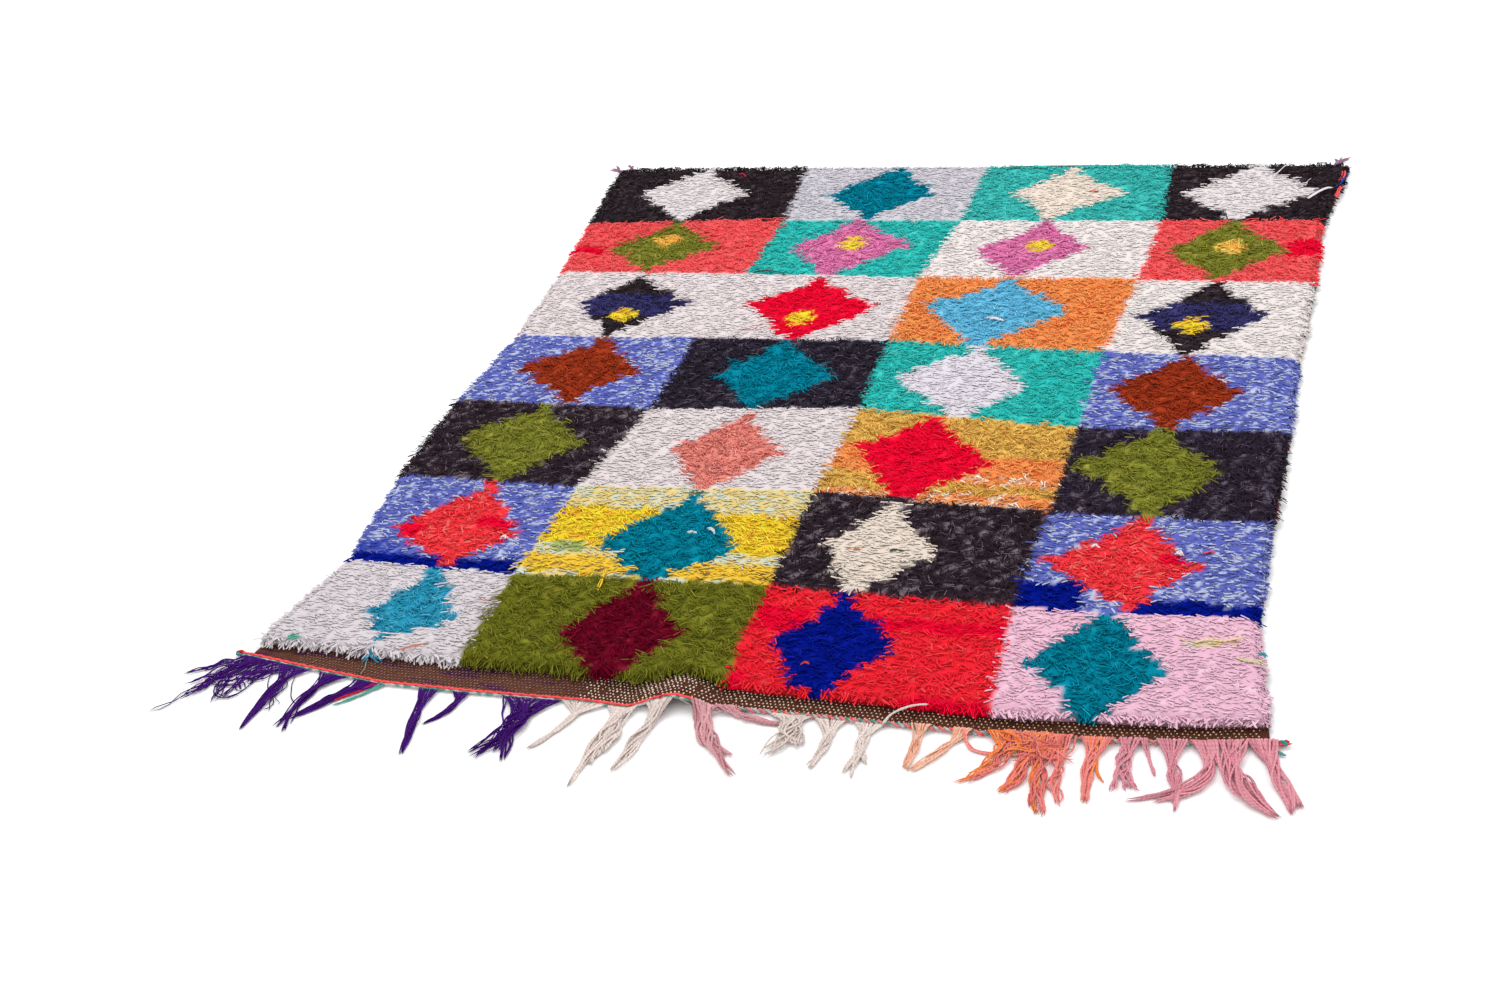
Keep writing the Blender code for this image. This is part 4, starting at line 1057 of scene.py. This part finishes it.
def tassel_yarns(rng, roots, waist, half_width, wave, tips, radius, over):
    """Centre lines of a tassel's yarns from their roots, wound loosely round one
    middle line through the waist, to the tips."""
    count = len(roots)
    t = np.linspace(0, 1, YARN_RINGS + 2)[:, None] ** 1.25
    tip = np.array(tips)[np.arange(count) % len(tips)] + rng.normal(0, 0.0018, (count, 2))
    tip = waist + (tip - waist) * (1.04 - 0.3 * rng.random((count, 1)) ** 2)
    start = roots[:, :2].mean(axis=0)
    first, second = np.linalg.norm(waist - start), np.linalg.norm(tip.mean(axis=0) - waist)
    share = np.clip(first / (first + second), 0.3, 0.7)
    handle = (waist - (1 - share) ** 2 * start - share ** 2 * tip) / (2 * share * (1 - share))
    middle = (1 - t) ** 2 * start + 2 * t * (1 - t) * handle[:, None] + t ** 2 * tip[:, None]
    gather = np.clip(1 - t / (share * 0.9), 0, 1) ** 1.5
    middle = middle + (roots[:, None, :2] - start) * gather
    ahead = np.gradient(middle, axis=1)
    ahead /= np.linalg.norm(ahead, axis=2, keepdims=True)
    beside = np.stack((-ahead[:, :, 1], ahead[:, :, 0]), axis=2)
    turn = rng.uniform(0, math.tau, (count, 1)) + rng.uniform(2, 5) * t[:, 0]
    reach = half_width * rng.uniform(0.15, 1, (count, 1)) ** 0.5
    reach = reach * np.clip(t[:, 0] / share, 0, 1) * (1 - 0.8 * np.clip((t[:, 0] - share) / (1 - share), 0, 1) ** 1.3)
    waves = rng.uniform(1.2, 3.0, (count, 1)) * t[:, 0] + rng.random((count, 1))
    sway = wave * np.sin(math.tau * waves) * np.minimum(t[:, 0] * 4, 1) * rng.uniform(0.3, 1, (count, 1))
    plan = middle + beside * (reach * np.cos(turn) + sway)[:, :, None]
    lift = roots[:, None, 2] * np.clip(1 - t[:, 0] / 0.45, 0, 1) ** 1.5
    run = t[:, 0] * (first + second)
    arch = over * 0.0062 * np.exp(-((run - 0.0055) / 0.006) ** 2)
    pile_up = 0.35 * reach * (1 + np.sin(turn)) + 0.3 * wave * rng.random((count, 1)) * np.minimum(t[:, 0] * 4, 1)
    z = radius * 1.3 + pile_up + lift + arch
    centres = np.concatenate((plan, z[:, :, None]), axis=2)
    beside = np.concatenate((beside, 0 * z[:, :, None]), axis=2)
    return centres, beside[:, 1:-1]


def make_tassels(name, rows, root_y, seed):
    rng = np.random.default_rng(seed)
    centres, sides, colours, radii = [], [], [], []
    for lot, low, high, waist_x, waist_y, half_width, count, wave, *tips in rows:
        radius, over, light, dark = TASSEL_LOTS[lot]
        x = np.linspace(low, high, count) + rng.normal(0, 0.0008, count)
        y = root_y(x) + 0.0055 * over
        rise = CORD_RADIUS * 0.8 + pucker_lift(x, y)
        line, side = tassel_yarns(
            rng, np.stack((x, y, rise), axis=1), np.array((waist_x, waist_y)),
            half_width / 1000, wave / 1000, tips, radius / 1000, over)
        share = rng.random((count, 1))
        centres.append(line)
        sides.append(side)
        radii.append(radius / 1000 * rng.uniform(0.85, 1.15, (count, 1)) * rng.uniform(0.92, 1.08, (count, YARN_RINGS)))
        colours.append((linear(light) * share + linear(dark) * (1 - share)) * rng.uniform(0.95, 1.15, (count, 1)))
    centres, sides, colours, radii = (np.concatenate(parts) for parts in (centres, sides, colours, radii))
    return yarn_mesh(name, centres, radii, sides, np.minimum(colours, 0.9), 4)


def near_root_y(x):
    return cord_y(x) - CORD_RADIUS * 0.6


tassel_material = make_twisted_yarn_material("tassel_yarn", 0.9, 160)
for number, (node, rows) in enumerate(TASSELS.items()):
    tassel = make_tassels(node.replace("fringe", "tassels"), rows, near_root_y, 50 + number)
    tassel.data.materials.append(tassel_material)
    slot_name = next(part["material_slot"] for part in frame["record"]["subparts"] if part["node"] == node)
    finish_piece(tassel, slot_name, node)


# Corner tufts
# Mauve warp ends, knotted off at the two far corners of the cloth.
CORNER_TUFTS = {
    "corner_tuft_far_left": (
        ("mauve", -0.790, -0.765, -0.805, 0.866, 4, 9, 2.0, (-0.836, 0.876), (-0.826, 0.894)),
        ("mauve", -0.775, -0.750, -0.785, 0.878, 4, 6, 2.0, (-0.802, 0.902), (-0.788, 0.898)),
    ),
    "corner_tuft_far_right": (
        ("mauve", 0.690, 0.735, 0.714, 0.872, 5, 12, 2.0, (0.706, 0.896), (0.722, 0.904), (0.738, 0.900)),
    ),
}


def far_root_y(x):
    return ROW_LINES[-1, 0] + FAR_HEM_WIDTH - 0.002 + 0 * x


for number, (node, rows) in enumerate(CORNER_TUFTS.items()):
    tuft = make_tassels(node.replace("corner_tuft", "tuft"), rows, far_root_y, 70 + number)
    tuft.data.materials.append(tassel_material)
    finish_piece(tuft, "tuft_yarn", node)


# Loose threads
# Single yarns that the weaver or wear left lying on the rug: tails over the near
# hem, stray ends caught in blocks of another colour, loops by the left corner.
THREAD_POINTS = 16
# Colour, radius in mm, number of yarns, spread in mm, first and last height in
# mm, then x and y of the points that the yarn passes
LOOSE_THREADS = (
    ((222, 210, 204), 1.5, 2, 0.8, 8, 26,
     (0.264, -0.872), (0.272, -0.853), (0.288, -0.845), (0.301, -0.841), (0.323, -0.842)),
    ((46, 146, 180), 1.1, 6, 2.5, 19, 6, (-0.542, -0.808), (-0.544, -0.826), (-0.553, -0.836)),
    ((46, 146, 180), 1.1, 5, 2.5, 16, 5, (-0.550, -0.816), (-0.539, -0.829), (-0.526, -0.832)),
    ((150, 150, 140), 0.9, 1, 0.0, 9, 6, (-0.545, -0.833), (-0.541, -0.850), (-0.540, -0.866)),
    ((196, 112, 84), 0.8, 2, 1.5, 23, 24, (-0.489, -0.821), (-0.479, -0.814), (-0.468, -0.808), (-0.451, -0.802)),
    ((190, 104, 76), 0.8, 1, 1.5, 23, 23, (-0.429, -0.677), (-0.412, -0.686), (-0.397, -0.681), (-0.387, -0.673)),
    ((70, 168, 140), 1.2, 4, 3.0, 22, 23, (-0.687, -0.820), (-0.682, -0.812), (-0.672, -0.812)),
    ((224, 200, 168), 1.2, 3, 1.5, 23, 24, (0.648, -0.667), (0.663, -0.658), (0.684, -0.660), (0.712, -0.649)),
    ((206, 206, 160), 1.1, 3, 2.0, 22, 23, (0.706, -0.688), (0.720, -0.696), (0.732, -0.693), (0.745, -0.703)),
    ((60, 150, 160), 1.2, 3, 2.0, 23, 21, (0.734, -0.683), (0.738, -0.677), (0.745, -0.682)),
    ((206, 214, 220), 1.3, 3, 1.2, 25, 25, (-0.150, -0.489), (-0.145, -0.485), (-0.136, -0.488)),
    ((206, 214, 220), 1.3, 3, 1.5, 25, 25, (-0.121, -0.478), (-0.115, -0.476), (-0.106, -0.488)),
    ((196, 70, 70), 1.2, 2, 1.2, 24, 24, (0.124, -0.780), (0.129, -0.773), (0.136, -0.778)),
    ((70, 62, 70), 1.1, 2, 1.2, 21, 21,
     (-0.326, 0.364), (-0.315, 0.372), (-0.296, 0.376), (-0.273, 0.370), (-0.256, 0.357)),
    ((214, 210, 214), 1.4, 4, 3.0, 25, 25, (0.171, 0.198), (0.182, 0.203), (0.198, 0.192)),
    ((200, 60, 56), 1.3, 2, 1.0, 20, 20, (0.257, 0.717), (0.266, 0.721), (0.277, 0.716)),
    ((206, 130, 90), 1.1, 2, 1.2, 27, 27, (0.114, -0.511), (0.124, -0.504), (0.136, -0.508)),
    ((52, 66, 60), 1.1, 2, 1.2, 27, 27, (0.179, -0.508), (0.188, -0.503), (0.200, -0.507)),
    ((180, 30, 60), 1.4, 2, 1.5, 22, 22, (-0.502, 0.801), (-0.496, 0.809), (-0.483, 0.791)),
    ((226, 212, 216), 1.3, 3, 1.5, 22, 22, (0.472, -0.460), (0.477, -0.453), (0.484, -0.461)),
    ((226, 212, 216), 1.3, 3, 1.5, 22, 22, (0.593, -0.467), (0.598, -0.461), (0.603, -0.469)),
    ((226, 206, 206), 1.3, 3, 1.5, 22, 22, (-0.458, -0.529), (-0.456, -0.522), (-0.448, -0.531)),
    ((228, 84, 90), 1.3, 2, 1.5, 22, 22, (0.633, -0.463), (0.641, -0.456), (0.650, -0.457)),
    ((30, 60, 150), 1.5, 3, 3.0, 14, 17, (0.721, 0.748), (0.729, 0.760), (0.735, 0.782)),
    ((232, 84, 92), 1.5, 3, 3.0, 12, 17, (0.724, 0.706), (0.727, 0.728), (0.732, 0.742)),
    ((232, 84, 92), 1.5, 3, 3.0, 14, 18, (0.728, 0.770), (0.734, 0.786), (0.733, 0.806)),
    ((235, 194, 48), 1.2, 3, 1.5, 25, 27, (-0.247, -0.596), (-0.242, -0.621), (-0.239, -0.641), (-0.237, -0.653)),
    ((204, 70, 80), 0.8, 1, 0.0, 20, 20,
     (-0.287, 0.148), (-0.274, 0.155), (-0.256, 0.148), (-0.250, 0.167), (-0.242, 0.178)),
    ((196, 26, 60), 1.9, 3, 1.5, 22, 4, (-0.053, -0.866), (-0.056, -0.876), (-0.050, -0.884)),
    ((216, 208, 214), 0.9, 2, 1.2, 24, 26, (0.600, 0.772), (0.610, 0.790), (0.620, 0.818), (0.634, 0.832)),
    ((200, 192, 198), 0.7, 1, 0.0, 23, 24, (0.664, 0.730), (0.669, 0.742), (0.668, 0.752), (0.674, 0.764)),
    ((216, 208, 214), 1.4, 3, 1.6, 24, 24, (0.675, 0.676), (0.690, 0.703), (0.708, 0.724), (0.716, 0.722)),
    ((226, 84, 88), 1.7, 4, 1.6, 5, 6, (0.752, -0.838), (0.770, -0.837), (0.790, -0.832)),
    ((96, 152, 152), 1.4, 3, 1.4, 4, 3, (0.756, -0.843), (0.772, -0.846), (0.786, -0.853)),
    ((58, 24, 92), 1.0, 2, 2.0, 4, 2,
     (-0.716, -0.860), (-0.748, -0.872), (-0.761, -0.893), (-0.770, -0.913), (-0.764, -0.934),
     (-0.743, -0.947), (-0.725, -0.945), (-0.714, -0.929), (-0.711, -0.906), (-0.706, -0.878)),
    ((66, 30, 104), 1.0, 2, 2.0, 4, 2,
     (-0.729, -0.857), (-0.767, -0.865), (-0.792, -0.878), (-0.787, -0.906), (-0.767, -0.918),
     (-0.747, -0.915), (-0.733, -0.904)),
    ((70, 50, 90), 0.9, 1, 0.0, 4, 2,
     (-0.689, -0.866), (-0.686, -0.893), (-0.673, -0.919), (-0.646, -0.939), (-0.645, -0.952), (-0.659, -0.957)),
    ((70, 50, 90), 0.9, 1, 0.0, 4, 2, (-0.645, -0.879), (-0.641, -0.901), (-0.631, -0.923), (-0.614, -0.937)),
)


def make_loose_threads():
    rng = np.random.default_rng(81)
    lines, radii, colours = [], [], []
    for colour, radius, count, spread, low, high, *points in LOOSE_THREADS:
        points = np.array(points)
        run = np.insert(np.cumsum(np.linalg.norm(np.diff(points, axis=0), axis=1)), 0, 0)
        t = np.linspace(0, 1, THREAD_POINTS)
        line = np.stack([np.interp(t, run / run[-1], points[:, axis]) for axis in (0, 1)], axis=1)
        for _ in range(3):
            line[1:-1] = (line[:-2] + 2 * line[1:-1] + line[2:]) / 4
        height = (low + (high - low) * t) / 1000
        line = np.concatenate((line, np.maximum(height, radius * 0.0014)[:, None]), axis=1)
        for _ in range(count):
            shift = np.append(rng.normal(0, spread / 1000, 2), rng.uniform(0, 0.0008))
            lines.append(line + shift + 0.0006 * np.sin(t * 9 + rng.random() * 6)[:, None] * (1, 1, 0))
            radii.append(radius / 1000 * rng.uniform(0.85, 1.1, THREAD_POINTS - 2))
            colours.append(linear(colour) * rng.uniform(0.85, 1.2))
    lines, radii, colours = np.array(lines), np.array(radii), np.minimum(np.array(colours), 0.9)
    ahead = lines[:, 2:] - lines[:, :-2]
    side = np.stack((-ahead[:, :, 1], ahead[:, :, 0], 0 * ahead[:, :, 0]), axis=2)
    side /= np.linalg.norm(side, axis=2, keepdims=True)
    return yarn_mesh("loose_threads", lines, radii, side, colours, 4)


loose_threads = make_loose_threads()
loose_threads.data.materials.append(tassel_material)
finish_piece(loose_threads, "pile")


# Selvedge
# Both long sides are bound with spare yarn in many colours, wrapped over the
# edge of the cloth stitch by stitch.
WRAP_PITCH = 0.0068
WRAP_RADIUS = 0.0016
WRAP_LOTS = ((96, 130, 110), (150, 150, 150), (190, 60, 60), (60, 50, 60), (200, 185, 160), (60, 110, 150))


def make_selvedge():
    rng = np.random.default_rng(61)
    lines, sides = [], []
    for line, outward in ((0, -1), (4, 1)):
        y = np.arange(-0.80, 0.835, WRAP_PITCH) + rng.normal(0, 0.0008, len(np.arange(-0.80, 0.835, WRAP_PITCH)))
        x = line_x(line, y)
        slant = rng.normal(0.0015, 0.0008, len(y))
        points = []
        for inset, z, lead in ((-0.007, 0.0026, -1), (-0.003, 0.0044, -0.5), (0.0006, 0.0040, 0), (0.0018, 0.0022, 0.6),
                               (0.0008, 0.0008, 1)):
            points.append(np.stack((x + outward * inset, y + slant * lead, np.full(len(y), z)), axis=1))
        lines.append(np.stack(points, axis=1))
        sides.append(np.tile(np.array((0, 1.0, 0)), (len(y), 3, 1)))
    lines, sides = np.concatenate(lines), np.concatenate(sides)
    lots = np.array([linear(colour) for colour in WRAP_LOTS])
    runs = np.repeat(rng.integers(0, len(lots), len(lines)), 3)[:len(lines)]
    radii = WRAP_RADIUS * rng.uniform(0.8, 1.25, (len(lines), 1)) * np.ones(3)
    colour = lots[runs] * rng.uniform(0.8, 1.1, (len(lines), 1))
    return yarn_mesh("selvedge_wraps", lines, radii, sides, colour, 4)


selvedge_wraps = make_selvedge()
selvedge_wraps.data.materials.append(tassel_material)
finish_piece(selvedge_wraps, "edge_yarn")

# Floor and light
# A plain pale floor under the rug, a wide soft light overhead and an even
# white surround, as in a studio.
bpy.ops.mesh.primitive_plane_add(size=30)
floor = bpy.context.object
floor.name = "floor"
floor_material, floor_tree, floor_shader = start_material("pale_floor", 0.9, 0.0, 0.1)
floor_shader.inputs["Base Color"].default_value = (0.97, 0.97, 0.97, 1)
floor.data.materials.append(floor_material)

world = bpy.data.worlds.new("studio")
bpy.context.scene.world = world
world.use_nodes = True
world.node_tree.nodes["Background"].inputs["Color"].default_value = (1, 1, 1, 1)
world.node_tree.nodes["Background"].inputs["Strength"].default_value = 0.97
for name, place, size, power in (
    ("overhead_light", (-0.6, 0.8, 3.2), 2.2, 48),
    ("side_light", (2.4, 1.0, 2.2), 1.6, 13),
):
    bpy.ops.object.light_add(type="AREA", location=place)
    lamp = bpy.context.object
    lamp.name = name
    lamp.data.size = size
    lamp.data.energy = power
    lamp.rotation_euler = (Vector((0, 0, 0)) - Vector(place)).to_track_quat("-Z", "Y").to_euler()
